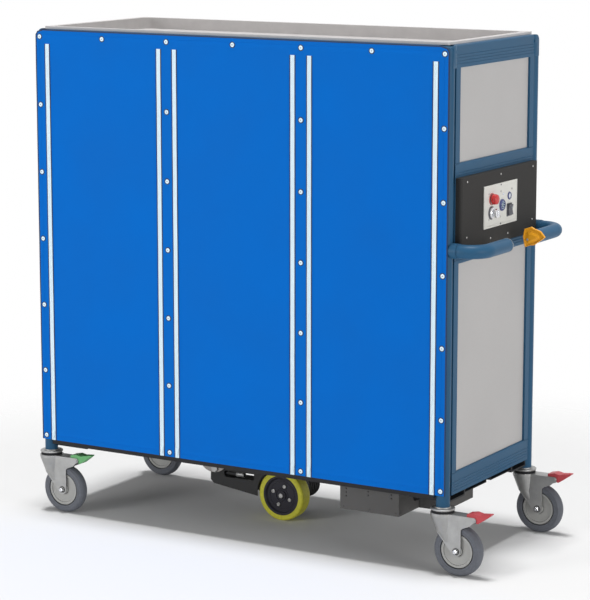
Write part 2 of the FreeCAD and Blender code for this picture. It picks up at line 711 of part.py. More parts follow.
def castor_tyre():
    half = TYRE_WIDTH / 2
    seat = HUB_R + SEAT / 2
    outline = [(seat, -half), (WHEEL_R - half * 0.45, -half), (WHEEL_R - half * 0.15, -half * 0.7),
               (WHEEL_R, -half * 0.3), (WHEEL_R, half * 0.3), (WHEEL_R - half * 0.15, half * 0.7),
               (WHEEL_R - half * 0.45, half), (seat, half)]
    return [turned(outline, V(CASTOR_TRAIL, 0, WHEEL_R), Y_DIR)]


def castor_hub():
    half = TYRE_WIDTH / 2 - FORK_PLATE / 2
    boss = TYRE_WIDTH / 2 + FORK_SIDE_GAP / 2
    web = half / 3
    bore = AXLE_RADIUS + RUN_FIT
    rim = HUB_R - TYRE_GROOVE
    side = [(bore, boss), (AXLE_RADIUS * 2.6, boss), (AXLE_RADIUS * 3, web), (rim * 0.78, web),
            (rim * 0.86, half), (rim, half), (rim, web), (HUB_R, web)]
    outline = side + [(r, -h) for r, h in reversed(side)]
    return [turned(outline, V(CASTOR_TRAIL, 0, WHEEL_R), Y_DIR)]


def castor_pedal():
    """Solid wedge, full width over its pivot and narrow at the toe."""
    half = FORK_INNER - GAP * 3
    tip = PEDAL_TIP_WIDTH / 2
    taper = PEDAL_PIVOT + PEDAL_TAPER_START
    side = side_slab([(PEDAL_PIVOT + x, FORK_TOP + z) for x, z in PEDAL_SIDE], -half, half)
    plan = plan_slab([(0, -half), (taper, -half), (PEDAL_REACH, -tip), (PEDAL_REACH, tip), (taper, half),
                      (0, half)], 0, 2 * FORK_TOP)
    shape = side.common(plan).fuse(across(PEDAL_EYE, PEDAL_PIVOT, PEDAL_Z, half))
    return [shape.cut(across(PEDAL_PIN + RUN_FIT, PEDAL_PIVOT, PEDAL_Z, half)).removeSplitter()]


def save_castors():
    pieces = (("fork", fork()), ("tyre", castor_tyre()), ("hub", castor_hub()), ("pedal", castor_pedal()))
    places = (("front_right", 1, -1), ("front_left", -1, -1), ("rear_right", 1, 1), ("rear_left", -1, 1))
    for piece, shapes in pieces:
        for place, x_side, y_side in places:
            placed = [moved(shape, x_side * POST_X, y_side * POST_Y) for shape in shapes]
            save("castor_" + piece + "_" + place, placed)


# ---------------------------------------------------------------- drive unit
def drive_bracket():
    plate_foot = UNDERSIDE - ARM_WALL
    left = SECTOR_X - SECTOR_RADIUS
    right = SECTOR_X + SECTOR_RADIUS
    inner = ARM_WIDTH / 2 + ARM_SIDE_GAP
    outer = inner + ARM_WALL
    cheek = rod(SECTOR_RADIUS, V(SECTOR_X, inner, SECTOR_Z), V(SECTOR_X, outer, SECTOR_Z))
    cheek = cheek.common(box(left, right, inner, outer, 0, plate_foot))
    top = box(left, right, -outer, outer, plate_foot, UNDERSIDE)
    bracket = top.fuse(both_ways(cheek, Y_DIR))
    bracket = bracket.cut(across(PIVOT_PIN + RUN_FIT, PIVOT_X, PIVOT_Z, outer))
    return [bracket.removeSplitter(), across(PIVOT_PIN, PIVOT_X, PIVOT_Z, outer + PIVOT_PIN / 2)]


def arm_outline(shrink):
    left = -ARM_LEFT + shrink
    right = -DRIVE_R + ARM_NECK
    return [(left, ARM_TOP - shrink), (left, ARM_FOOT + ARM_SLOPE * 1.5),
            (left + ARM_WALL * 3, ARM_FOOT + ARM_SLOPE), (right, ARM_FOOT - ARM_WALL / 2),
            (right, ARM_TOP - shrink)]


def arm_slot(half):
    slot_r = SLOT_HEIGHT / 2
    left = -SLOT_LEFT + slot_r
    slot = box(left, -SLOT_RIGHT, -half, half, SLOT_LEVEL - slot_r, SLOT_LEVEL + slot_r)
    return slot.fuse(across(slot_r, left, SLOT_LEVEL, half))


def arm_strut():
    """Rod that shows in the slot, hung from the arm's top wall."""
    pieces = [rod(STRUT_RADIUS, V(-STRUT_LEFT, STRUT_Y, SLOT_LEVEL), V(-STRUT_RIGHT, STRUT_Y, SLOT_LEVEL))]
    for x in (-STRUT_LEFT + 2 * STRUT_HANGER, -STRUT_RIGHT - 2 * STRUT_HANGER):
        pieces.append(rod(STRUT_HANGER, V(x, STRUT_Y, SLOT_LEVEL), V(x, STRUT_Y, ARM_TOP - ARM_WALL / 2)))
    return pieces


def gearbox_plate():
    inner = DRIVE_WIDTH / 2 + DRIVE_SIDE_GAP
    half = GEARBOX_SIZE / 2
    neck = -DRIVE_R - ARM_NECK
    side = [(neck, ARM_TOP), (neck, ARM_FOOT + ARM_WALL), (0, DRIVE_R - half), (half, DRIVE_R),
            (0, DRIVE_R + half)]
    plate = side_slab(side, inner, inner + ARM_WALL * 1.5)
    return plate.cut(rod(DRIVE_SHAFT + GAP, V(0, inner, DRIVE_R), V(0, inner + 2 * ARM_WALL, DRIVE_R)))


def drive_arm():
    half = ARM_WIDTH / 2
    inside = half - ARM_WALL
    arm = side_slab(arm_outline(0), -half, half)
    arm = arm.cut(side_slab(arm_outline(ARM_WALL), -inside, inside))
    arm = arm.cut(box(-ARM_LEFT + ARM_WALL, 0, -inside, inside, 0, SLOT_LEVEL))
    arm = arm.cut(arm_slot(half))
    arm = arm.cut(across(DRIVE_R + ARM_WALL, 0, DRIVE_R, half))
    arm = arm.cut(across(PIVOT_PIN + RUN_FIT, PIVOT_X, PIVOT_Z, half))
    return [arm.fuse([gearbox_plate()] + arm_strut()).removeSplitter()]


def motor_side():
    return DRIVE_WIDTH / 2 + DRIVE_SIDE_GAP + ARM_WALL * 1.5 + SEAT


def drive_motor():
    near = motor_side()
    far = near + GEARBOX_DEPTH
    half = GEARBOX_SIZE / 2
    shaft = rod(DRIVE_SHAFT, V(0, DRIVE_SHAFT_INSET - DRIVE_WIDTH / 2, DRIVE_R), V(0, near, DRIVE_R))
    gearbox = box(-half, half, near, far, DRIVE_R - half * 0.7, DRIVE_R + half)
    edges = [edge for edge in gearbox.Edges if abs(edge.tangentAt(0).y) > 0.9]
    gearbox = gearbox.makeFillet(half / 3, edges)
    can = rod(MOTOR_RADIUS, V(0, far, DRIVE_R + ARM_WALL), V(0, far + MOTOR_LENGTH, DRIVE_R + ARM_WALL))
    pitch = MOTOR_LENGTH / (MOTOR_FINS + 1)
    fins = []
    for number in range(1, MOTOR_FINS + 1):
        y = far + number * pitch
        fins.append(rod(MOTOR_RADIUS + FIN_DEPTH, V(0, y - FIN_DEPTH / 2, DRIVE_R + ARM_WALL),
                        V(0, y + FIN_DEPTH / 2, DRIVE_R + ARM_WALL)))
    return [gearbox.fuse([can, shaft] + fins).removeSplitter()]


def drive_hub():
    half = DRIVE_WIDTH / 2
    rim = DRIVE_R - DRIVE_TREAD
    bore = DRIVE_SHAFT + RUN_FIT
    face = half - DRIVE_HUB_INSET
    blind = DRIVE_SHAFT_INSET - half - GAP
    outline = [(0, -face - DRIVE_BOSS_HEIGHT), (DRIVE_BOSS_RADIUS, -face - DRIVE_BOSS_HEIGHT),
               (DRIVE_BOSS_RADIUS, -face), (rim * 0.82, -face), (rim * 0.9, -half), (rim, -half),
               (rim, half), (rim * 0.9, half), (rim * 0.8, face), (bore, face), (bore, blind), (0, blind)]
    hub = turned(outline, V(0, 0, DRIVE_R), Y_DIR)
    bolts = []
    circle = rim * 0.5
    for number in range(DRIVE_BOLTS):
        angle = math.radians(DRIVE_BOLT_TURN + number * 360 / DRIVE_BOLTS)
        x = circle * math.cos(angle)
        z = DRIVE_R + circle * math.sin(angle)
        bolts.append(rod(AXLE_RADIUS, V(x, -face - SEAT - DRIVE_BOLT_HEAD, z), V(x, -face - SEAT, z)))
    return [hub] + bolts


def drive_tyre():
    half = DRIVE_WIDTH / 2
    seat = DRIVE_R - DRIVE_TREAD + SEAT / 2
    side = [(seat, -half), (DRIVE_R - TREAD_EDGE, -half), (DRIVE_R - TREAD_EDGE / 4, -half + TREAD_EDGE / 2),
            (DRIVE_R, -half + TREAD_CROWN)]
    outline = side + [(r, -h) for r, h in reversed(side)]
    return [turned(outline, V(0, 0, DRIVE_R), Y_DIR)]


def coil_point(step, foot, rise):
    """Point and direction on the coil after a number of half turns."""
    angle = math.pi * step
    slope = rise / (math.pi * SPRING_RADIUS)
    point = V(SPRING_RADIUS * math.cos(angle), SPRING_RADIUS * math.sin(angle), foot + rise * step)
    return point, V(-math.sin(angle), math.cos(angle), slope).normalize()


def arc_between(start, corner, finish):
    """Arc that touches both lines through the corner."""
    middle = (start + finish) * 0.5
    bend = math.acos((middle - start).Length / (corner - start).Length)
    top = middle + (corner - middle) * (math.tan(bend / 2) / math.tan(bend))
    return Part.Arc(start, top, finish).toShape()


def biarc(start, leaving, finish, arriving):
    """Two arcs that join smoothly and keep the direction at both ends."""
    across_ends = finish - start
    sweep = across_ends.dot(leaving + arriving)
    turn = 2 * (1 - leaving.dot(arriving))
    reach = (math.sqrt(sweep ** 2 + turn * across_ends.dot(across_ends)) - sweep) / turn
    first = start + leaving * reach
    second = finish - arriving * reach
    joint = (first + second) * 0.5
    return [arc_between(start, first, joint), arc_between(joint, second, finish)]


def least_gap(path):
    """Smallest distance between turns of the wire, measured on points of its centre line."""
    points = path.discretize(Number=SPRING_TURNS * SPRING_SAMPLES)
    near = SPRING_SAMPLES // 2
    distances = [(a - b).Length for i, a in enumerate(points) for b in points[i + near:]]
    return min(distances) - 2 * SPRING_WIRE


def drive_spring():
    foot = ARM_TOP + SPRING_WIRE + GAP
    head = CHANNEL_BOTTOM - SPRING_WIRE - GAP
    halves = 2 * SPRING_TURNS
    rise = (head - foot) / halves
    edges = []
    for step in range(halves):
        start, leaving = coil_point(step, foot, rise)
        finish, arriving = coil_point(step + 1, foot, rise)
        edges += biarc(start, leaving, finish, arriving)
    path = Part.Wire(edges)
    start, leaving = coil_point(0, foot, rise)
    section = Part.Wire(Part.makeCircle(SPRING_WIRE, start, leaving))
    print("spring: least gap between turns", round(least_gap(path), 2), "mm")
    return [moved(path.makePipeShell([section], True, False), SPRING_X)]


# ---------------------------------------------------------------- boxes under the floor
def sheet_box(x0, x1, y0, y1):
    top = UNDERSIDE
    outer = box(x0, x1, y0, y1, BOX_BOTTOM, top)
    return outer.cut(box(x0 + BOX_SHEET, x1 - BOX_SHEET, y0 + BOX_SHEET, y1 - BOX_SHEET,
                         BOX_BOTTOM + BOX_SHEET, top - BOX_SHEET))


def battery_box():
    """Sheet box with small vent holes in front and a catch on its right side."""
    right = BATTERY_X + BATTERY_LENGTH
    back = BATTERY_FRONT + BATTERY_DEPTH
    shape = sheet_box(BATTERY_X, right, BATTERY_FRONT, back)
    for column, distance in enumerate(VENT_COLUMNS):
        x = BATTERY_X + distance
        for row in range(3 if column == 0 else 2):
            z = UNDERSIDE - VENT_DROP - row * VENT_PITCH
            shape = shape.cut(rod(VENT_RADIUS, V(x, BATTERY_FRONT, z), V(x, BATTERY_FRONT + BOX_SHEET, z)))
    y = back - BOX_KNOB_INSET
    z = BOX_BOTTOM + BOX_KNOB_RISE
    knob = rod(AXLE_RADIUS, V(right + SEAT, y, z), V(right + SEAT + BOX_SHEET, y, z))
    return [shape, knob]


def controller_box():
    left = BATTERY_X + BATTERY_LENGTH + BOX_SPACING
    front = BATTERY_FRONT + BATTERY_DEPTH
    return [sheet_box(left, left + CONTROLLER_LENGTH, front, front + CONTROLLER_DEPTH)]


# ---------------------------------------------------------------- control end
def cover_shell(skin):
    """Block with chamfered upright edges, skin millimetres inside the outer face."""
    half = COVER_BOX_WIDTH / 2 - skin
    back = RIGHT + SEAT
    front = COVER_BOX_FACE - skin
    edge = COVER_BOX_EDGE - skin
    side = [(back, half), (front - edge, half), (front - edge * 0.3, half - edge * 0.3), (front, half - edge)]
    outline = side + [(x, -y) for x, y in reversed(side)]
    return plan_slab(outline, COVER_BOX_BOTTOM + skin, COVER_BOX_TOP - skin)


def control_cover():
    cover = cover_shell(0).cut(cover_shell(COVER_BOX_SHEET))
    return [cut_controls(cover, RIGHT + SEAT, COVER_BOX_FACE)]


def on_plate(place):
    return place[0], PLATE_LEVEL + place[1]


def cut_controls(shape, x0, x1):
    """Cut the stem holes and the rocker's window through a sheet between x0 and x1."""
    for y, z in (on_plate(ESTOP_PLACE), on_plate(KEY_PLACE)):
        shape = shape.cut(rod(SWITCH_STEM + GAP, V(x0, y, z), V(x1, y, z)))
    y, z = on_plate(ROCKER_PLACE)
    half_y = ROCKER_WIDTH / 2 + GAP
    half_z = ROCKER_HEIGHT / 2 + 2 * GAP
    return shape.cut(box(x0, x1, y - half_y, y + half_y, z - half_z, z + half_z))


def switch_plate():
    back = COVER_BOX_FACE + SEAT
    left = PLATE_Y - PLATE_WIDTH / 2
    right = PLATE_Y + PLATE_WIDTH / 2
    foot = PLATE_LEVEL - PLATE_HEIGHT / 2
    head = PLATE_LEVEL + PLATE_HEIGHT / 2
    rim_face = PLATE_FACE + PLATE_SHEET
    plate = box(back, rim_face, left, right, foot, head)
    plate = plate.cut(box(PLATE_FACE, rim_face, left + PLATE_RIM, right - PLATE_RIM, foot + PLATE_RIM,
                          head - PLATE_RIM))
    return [cut_controls(plate, back, rim_face)]


def estop_button():
    y, z = on_plate(ESTOP_PLACE)
    foot = PLATE_FACE + GAP + ESTOP_TRAVEL
    stem = STEM_LENGTH + ESTOP_TRAVEL
    outline = [(0, -stem), (SWITCH_STEM, -stem), (SWITCH_STEM, 0), (ESTOP_RADIUS, 0),
               (ESTOP_RADIUS, ESTOP_HEAD * 0.55), (ESTOP_RADIUS * 0.85, ESTOP_HEAD * 0.85),
               (ESTOP_RADIUS * 0.45, ESTOP_HEAD), (0, ESTOP_HEAD)]
    return [turned(outline, V(foot, y, z), X_DIR)]


def key_switch():
    """Round knob with a grip bar across it."""
    y, z = on_plate(KEY_PLACE)
    foot = PLATE_FACE + GAP
    shoulder = KNOB_HEIGHT * 0.55
    outline = [(0, -STEM_LENGTH), (SWITCH_STEM, -STEM_LENGTH), (SWITCH_STEM, 0), (KNOB_RADIUS, 0),
               (KNOB_RADIUS, KNOB_HEIGHT * 0.4), (KNOB_RADIUS * 0.8, shoulder), (0, shoulder)]
    knob = turned(outline, V(foot, y, z), X_DIR)
    grip = KNOB_RADIUS * 0.25
    reach = KNOB_RADIUS * 0.72
    bar = box(foot + KNOB_HEIGHT * 0.3, foot + KNOB_HEIGHT, y - grip, y + grip, z - reach, z + reach)
    return [knob.fuse(bar).removeSplitter()]


def mode_switch():
    y, z = on_plate(ROCKER_PLACE)
    half = ROCKER_HEIGHT / 2
    dish = ROCKER_STAND - ROCKER_DISH
    root = half * 0.8
    outline = [(-ROCKER_ROOT, -root), (0, -half), (ROCKER_STAND, -half), (dish, 0), (ROCKER_STAND, half),
               (0, half), (-ROCKER_ROOT, root)]
    side = [(PLATE_FACE + x, z + height) for x, height in outline]
    return [side_slab(side, y - ROCKER_WIDTH / 2, y + ROCKER_WIDTH / 2)]


def charge_socket():
    y, z = on_plate(SOCKET_PLACE)
    hole = SOCKET_RADIUS * 0.35
    well = SOCKET_RADIUS * 0.7
    lip = SOCKET_RADIUS * 0.8
    outline = [(hole, 0), (SOCKET_RADIUS, 0), (SOCKET_RADIUS, SOCKET_HEIGHT * 0.6), (lip, SOCKET_HEIGHT),
               (well, SOCKET_HEIGHT), (well, SOCKET_HEIGHT * 0.4), (hole, SOCKET_HEIGHT * 0.4)]
    return [turned(outline, V(PLATE_FACE + SEAT, y, z), X_DIR)]


def status_lamps():
    """Ring lamp and a small plain one."""
    foot = PLATE_FACE + SEAT
    half = LAMP_HEIGHT / 2
    y, z = on_plate(RING_LAMP_PLACE)
    well = RING_LAMP_RADIUS * 0.45
    ring = [(0, 0), (RING_LAMP_RADIUS, 0), (RING_LAMP_RADIUS, half), (RING_LAMP_RADIUS * 0.67, LAMP_HEIGHT),
            (well, LAMP_HEIGHT), (well, half), (0, half)]
    lens = [(0, 0), (LAMP_RADIUS, 0), (LAMP_RADIUS * 0.75, LAMP_HEIGHT * 0.8), (0, LAMP_HEIGHT)]
    lamp_y, lamp_z = on_plate(LAMP_PLACE)
    return [turned(ring, V(foot, y, z), X_DIR), turned(lens, V(foot, lamp_y, lamp_z), X_DIR)]


def screw_places():
    """Seven screws on the cover and six on the plate, as (face, y, z)."""
    end = COVER_BOX_WIDTH / 2 - COVER_SCREW_INSET
    high = COVER_BOX_TOP - COVER_SCREW_HEAD
    foot = COVER_BOX_BOTTOM + COVER_SCREW_FOOT
    low = COVER_BOX_BOTTOM + COVER_SCREW_LOW
    on_cover = ((-end, high), (0, high), (end, high), (-end, foot), (end, foot), (-end / 3.4, low),
                (end / 4.3, low))
    places = [(COVER_BOX_FACE, y, z) for y, z in on_cover]
    rise = PLATE_HEIGHT / 2 - PLATE_SCREW_INSET
    for y in PLATE_SCREW_COLUMNS:
        places += [(PLATE_FACE, y, PLATE_LEVEL + side * rise) for side in (-1, 1)]
    return places


def panel_screws():
    crown = SCREW_RADIUS * 0.56
    button = [(0, 0), (SCREW_RADIUS, 0), (SCREW_RADIUS, SCREW_HEIGHT * 0.45), (crown, SCREW_HEIGHT),
              (0, SCREW_HEIGHT)]
    return [turned(button, V(x + SEAT, y, z), X_DIR) for x, y, z in screw_places()]


def bent_handle(side, end):
    """Tube from a post outwards, round a bend and along the end; side is -1 at the front."""
    start_y = side * POST_Y
    bend_y = start_y - side * HANDLE_BEND
    knee = HANDLE_BEND * (1 - math.sqrt(0.5))
    start = V(POST_X + POST_R, start_y, HANDLE_LEVEL)
    bend_in = V(HANDLE_REACH - HANDLE_BEND, start_y, HANDLE_LEVEL)
    middle = V(HANDLE_REACH - knee, start_y - side * knee, HANDLE_LEVEL)
    bend_out = V(HANDLE_REACH, bend_y, HANDLE_LEVEL)
    finish = V(HANDLE_REACH, end, HANDLE_LEVEL)
    path = Part.Wire([Part.makeLine(start, bend_in), Part.Arc(bend_in, middle, bend_out).toShape(),
                      Part.makeLine(bend_out, finish)])
    section = Part.Wire(Part.makeCircle(POST_R, start, X_DIR))
    return path.makePipeShell([section], True, True), finish


def handle(side, end):
    bar, finish = bent_handle(side, end)
    axis = V(POST_X, side * POST_Y, HANDLE_LEVEL)
    root = rod(POST_R, axis, axis + V(POST_R, 0, 0))
    collar_start = V(RIGHT + SEAT, side * POST_Y, HANDLE_LEVEL)
    collar = rod(COLLAR_RADIUS, collar_start, collar_start + V(HANDLE_COLLAR, 0, 0))
    clear = rod(POST_R + SEAT, axis - V(0, 0, POST_DIAMETER), axis + V(0, 0, POST_DIAMETER))
    return [bar.fuse([root, collar]).cut(clear).removeSplitter()], finish


def end_plug(finish, side):
    """Plug with an eased edge that closes the free end of the front handle."""
    rim = POST_R - PLUG_EDGE
    outline = [(0, 0), (POST_R, 0), (POST_R, PLUG_HEIGHT - PLUG_EDGE), (rim, PLUG_HEIGHT), (0, PLUG_HEIGHT)]
    return turned(outline, finish + V(0, -side * SEAT, 0), V(0, -side, 0))


def handles():
    """Two bent bars; the throttle lever covers the end of the rear one."""
    front, front_end = handle(-1, FRONT_HANDLE_END)
    rear, rear_end = handle(1, REAR_HANDLE_END)
    return front + rear + [end_plug(front_end, -1)]


def throttle_lever():
    """Faceted cap that turns on the end of the rear bar."""
    bar_end = REAR_HANDLE_END - GAP
    near = bar_end - LEVER_CAP
    far = near + LEVER_LENGTH
    body = side_slab([(HANDLE_REACH + x, HANDLE_LEVEL + z) for x, z in LEVER_SECTION], near, far)
    start = V(HANDLE_REACH, near, HANDLE_LEVEL)
    mouth = V(HANDLE_REACH, far, HANDLE_LEVEL)
    body = body.fuse(rod(POST_R + GAP + LEVER_SKIN, start, mouth))
    bore = rod(POST_R + GAP, V(HANDLE_REACH, bar_end, HANDLE_LEVEL), mouth)
    return [body.cut(bore).removeSplitter()]


# ---------------------------------------------------------------- all nodes
RIGHT_LEVELS = (RAIL_BOTTOM, LOWER_MID_RAIL, UPPER_MID_RAIL, TOP_RAIL)
LEFT_LEVELS = (RAIL_BOTTOM, UPPER_MID_RAIL, TOP_RAIL)

os.makedirs("parts", exist_ok=True)
save("corner_posts", corner_posts())
save("top_rails", long_rails(TOP_RAIL))
save("bottom_rails", long_rails(RAIL_BOTTOM))
save("end_frame_right", end_frame(RIGHT_LEVELS))
save("end_frame_left", [mirrored(piece, X_DIR) for piece in end_frame(LEFT_LEVELS)])
save("end_panels_right", end_panels(RIGHT_LEVELS))
save("end_panels_left", [mirrored(panel, X_DIR) for panel in end_panels(LEFT_LEVELS)])
save("mullions", mullions())
save("back_panels", back_panels())
save("base_plate", base_plate())
save("cross_members", cross_members())
save("dividers", dividers())
save("tray_runners", tray_runners())
save("top_tray", top_tray())
save("front_cover", front_cover())
save("zip_tapes", zip_tapes())
save("cover_studs", cover_studs())
for label, middle in zip(("left", "middle", "right"), door_centres()):
    save("door_" + label, door(middle))
    save("zip_sliders_" + label, zip_sliders(middle))
save("castor_heads", castor_heads())
save("swivel_seals", swivel_seals())
save_castors()
save("drive_bracket", drive_bracket())
save("drive_arm", drive_arm())
save("drive_motor", drive_motor())
save("drive_hub", drive_hub())
save("drive_tyre", drive_tyre())
save("drive_spring", drive_spring())
save("battery_box", battery_box())
save("controller_box", controller_box())
save("control_cover", control_cover())
save("switch_plate", switch_plate())
save("estop_button", estop_button())
save("key_switch", key_switch())
save("mode_switch", mode_switch())
save("charge_socket", charge_socket())
save("status_lamps", status_lamps())
save("panel_screws", panel_screws())
save("handles", handles())
save("throttle_lever", throttle_lever())
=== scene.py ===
"""Enclosed meal tray cart: its finishes, cloth front and small fittings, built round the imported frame."""
import functools
import json
import math

import bpy
import bmesh
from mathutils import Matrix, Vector, noise


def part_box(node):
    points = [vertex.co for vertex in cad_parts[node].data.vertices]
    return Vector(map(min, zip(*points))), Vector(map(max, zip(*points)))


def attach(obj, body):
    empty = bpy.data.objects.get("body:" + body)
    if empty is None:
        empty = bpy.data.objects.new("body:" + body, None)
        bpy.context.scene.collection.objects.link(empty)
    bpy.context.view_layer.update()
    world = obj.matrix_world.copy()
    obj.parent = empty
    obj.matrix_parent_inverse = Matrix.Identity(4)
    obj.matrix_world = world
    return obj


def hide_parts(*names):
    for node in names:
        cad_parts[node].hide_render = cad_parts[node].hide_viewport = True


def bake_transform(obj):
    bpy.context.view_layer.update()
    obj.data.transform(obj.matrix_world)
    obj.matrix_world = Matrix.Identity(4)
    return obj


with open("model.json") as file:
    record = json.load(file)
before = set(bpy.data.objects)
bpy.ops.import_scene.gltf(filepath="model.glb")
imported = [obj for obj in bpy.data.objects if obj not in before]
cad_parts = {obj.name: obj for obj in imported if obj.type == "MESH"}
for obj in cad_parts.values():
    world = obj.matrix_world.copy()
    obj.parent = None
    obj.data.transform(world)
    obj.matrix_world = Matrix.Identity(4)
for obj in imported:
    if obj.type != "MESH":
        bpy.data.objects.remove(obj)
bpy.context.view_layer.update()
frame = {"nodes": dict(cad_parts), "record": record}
NODES = frame["nodes"]

bl_info = {
    "name": "Meal Tray Cart",
    "version": (1, 0, 0),
    "blender": (4, 5, 0),
    "location": "3D View > Sidebar > Meal Cart",
    "description": "Dresses a motor-assisted meal tray cart with its cloth front, fittings and finishes",
    "category": "Object",
}

MM = 0.001
UP, OUT, ALONG = Vector((0, 0, 1)), Vector((0, -1, 0)), Vector((1, 0, 0))
DOORS = ("left", "middle", "right")
PLACES = ("front_right", "front_left", "rear_right", "rear_left")
TUBE_RADIUS = 21.2 * MM  # posts and handles
DOOR_GAP = 0.5 * MM
CORNER_DROP, CORNER_RUN = 18 * MM, 29.5 * MM  # the cover's eased top corners
FRONT_HANDLE_END = -108 * MM  # the plugged end's place along Y


# ---------------------------------------------------------------- sizes and colours
def srgb(code):
    """An sRGB hex colour as linear values."""
    values = [int(code[start:start + 2], 16) / 255 for start in (1, 3, 5)]
    return [v / 12.92 if v <= 0.04045 else ((v + 0.055) / 1.055) ** 2.4 for v in values]


def colour(name, description, code):
    return bpy.props.FloatVectorProperty(name=name, description=description, subtype="COLOR", size=3,
                                         min=0, max=1, default=srgb(code))


def length(name, description, millimetres):
    return bpy.props.FloatProperty(name=name, description=description, unit="LENGTH", min=0,
                                   default=millimetres * MM)


class CartColours(bpy.types.PropertyGroup):
    cover: colour("Cover", "Coated cloth of the front", "#0068c5")
    frame: colour("Frame", "Powder coat of posts, rails and handles", "#2a5473")
    panel: colour("Panels", "Fixed panels of the ends and back", "#b4b2b1")
    tray: colour("Top tray", "Moulded tray on top", "#cac7c6")
    white: colour("White trim", "Zips and press studs", "#dcf0fb")
    control: colour("Control box", "Textured coat of the control box", "#363534")
    plate: colour("Switch plate", "Coat of the switch plate", "#d9d8d2")
    castor: colour("Castor steel", "Pressed castor forks and heads", "#9d9d9c")
    hub: colour("Castor hub", "Moulded castor wheel centre", "#a3a3a0")
    tyre: colour("Castor tyre", "Grey castor tyre", "#62656c")
    tread: colour("Drive tread", "Drive wheel tread", "#c8c440")
    lever: colour("Throttle", "Throttle lever", "#eca522")
    brake: colour("Brake pedal", "Brake pedals", "#b9464d")
    direction: colour("Direction pedal", "Direction lock pedal", "#68a96e")
    dark: colour("Drive unit", "Coat of the drive arm and motor", "#373737")
    # painted shade: this dark navy darkens the cover's edges, the strips beside the zips and the rings round
    # the studs
    shade_binding: colour("Bound edges", "Tape that binds the cover, the zips and the studs", "#06264c")
    boxes: colour("Floor boxes", "Battery and controller boxes", "#575655")


class CartSizes(bpy.types.PropertyGroup):
    cloth_step: length("Cloth step", "Spacing of the cloth mesh", 12)
    cloth_thickness: length("Cloth thickness", "Thickness of the coated cloth", 1.1)
    hem_width: length("Hem", "Width of the welded hem", 20)
    hem_rise: length("Hem rise", "How far the double layer stands up", 0.5)
    slack: length("Door slack", "How far a door bellies out", 2.6)
    stitch_length: length("Stitch", "Length of one stitch", 3.4)
    stitch_pitch: length("Stitch pitch", "From one stitch to the next", 5)
    tooth_pitch: length("Zip pitch", "From one zip tooth to the next", 4)
    weave: length("Thread spacing", "Spacing of the base cloth's threads", 1.2)


# ---------------------------------------------------------------- materials
def add(tree, kind, inputs=None, **settings):
    """Adds a node, sets it up and fills or links its inputs."""
    node = tree.nodes.new(kind)
    for name, value in settings.items():
        setattr(node, name, value)
    for socket, value in (inputs or {}).items():
        if isinstance(value, bpy.types.NodeSocket):
            tree.links.new(value, node.inputs[socket])
        else:
            node.inputs[socket].default_value = value
    return node


def start(name, roughness, metallic=0.0, ior=1.5, gloss=0.5):
    material = bpy.data.materials.new(name)
    material.use_nodes = True
    tree = material.node_tree
    shader = tree.nodes["Principled BSDF"]
    shader.inputs["Roughness"].default_value = roughness
    shader.inputs["Metallic"].default_value = metallic
    if not metallic:
        shader.inputs["IOR"].default_value = ior
        shader.inputs["Specular IOR Level"].default_value = gloss
    return material, tree, shader


def tone(colour_value, factor):
    return [min(1.0, channel * factor) for channel in colour_value[:3]] + [1.0]


def ranged(tree, value, low, high, first=0.0, last=1.0, **settings):
    """A value carried over from the range first to last, to the range low to high."""
    return add(tree, "ShaderNodeMapRange", {"Value": value, 1: first, 2: last, 3: low, 4: high},
               **settings).outputs["Result"]


def mixed(tree, factor, low, high):
    """A colour between two others."""
    return add(tree, "ShaderNodeMix", {"Factor": factor, 6: low, 7: high}, data_type="RGBA").outputs[2]


def texture(tree, kind, size, place=None, settings=(), **sockets):
    """A texture on the piece itself, or at a given place, with a grain of the given size in millimetres."""
    sockets["Vector"] = place or add(tree, "ShaderNodeTexCoord").outputs["Object"]
    sockets["Scale"] = 1 / (size * MM)
    return add(tree, "ShaderNodeTex" + kind, sockets, **dict(settings))


def raised(tree, height, depth, strength, normal=None):
    """The normal of a face that a height raises by up to depth, in millimetres."""
    sockets = {"Height": height, "Distance": depth * MM, "Strength": strength}
    if normal is not None:
        sockets["Normal"] = normal
    return add(tree, "ShaderNodeBump", sockets).outputs["Normal"]


def patches(tree, low, high, size, detail=3.0):
    """A colour that drifts between two tones over patches of the given size in millimetres."""
    spots = texture(tree, "Noise", size, Detail=detail).outputs["Fac"]
    spread = ranged(tree, spots, 0.0, 1.0, 0.3, 0.7)
    return mixed(tree, spread, low, high), spread


def patchy_edge_lit(tree, base, low, high, size, radius, pale, detail=3.0):
    """A patchy skin with a painted highlight that makes edges sharper than radius in millimetres paler; its
    normal; its patches.
    """
    skin, drift = patches(tree, tone(base, low), tone(base, high), size, detail)
    rounded = add(tree, "ShaderNodeBevel", {"Radius": radius * MM}, samples=4).outputs[0]
    plain = add(tree, "ShaderNodeNewGeometry").outputs["Normal"]
    facing = add(tree, "ShaderNodeVectorMath", {0: rounded, 1: plain}, operation="DOT_PRODUCT")
    # painted highlight: where the bevel normal turns away from the face's own normal, at the edges, the skin
    # is mixed towards the paler tone
    edge_highlight = ranged(tree, facing.outputs["Value"], 0.0, 1.0, 0.98, 0.85)
    return mixed(tree, edge_highlight, skin, tone(base, pale)), rounded, drift


def dress(material, skin, normal=None, roughness=None):
    """Joins a skin, a normal and a roughness to the material's shader."""
    links, shader = material.node_tree.links, material.node_tree.nodes["Principled BSDF"]
    for socket, source in (("Base Color", skin), ("Normal", normal), ("Roughness", roughness)):
        if source is not None:
            links.new(source, shader.inputs[socket])
    return material


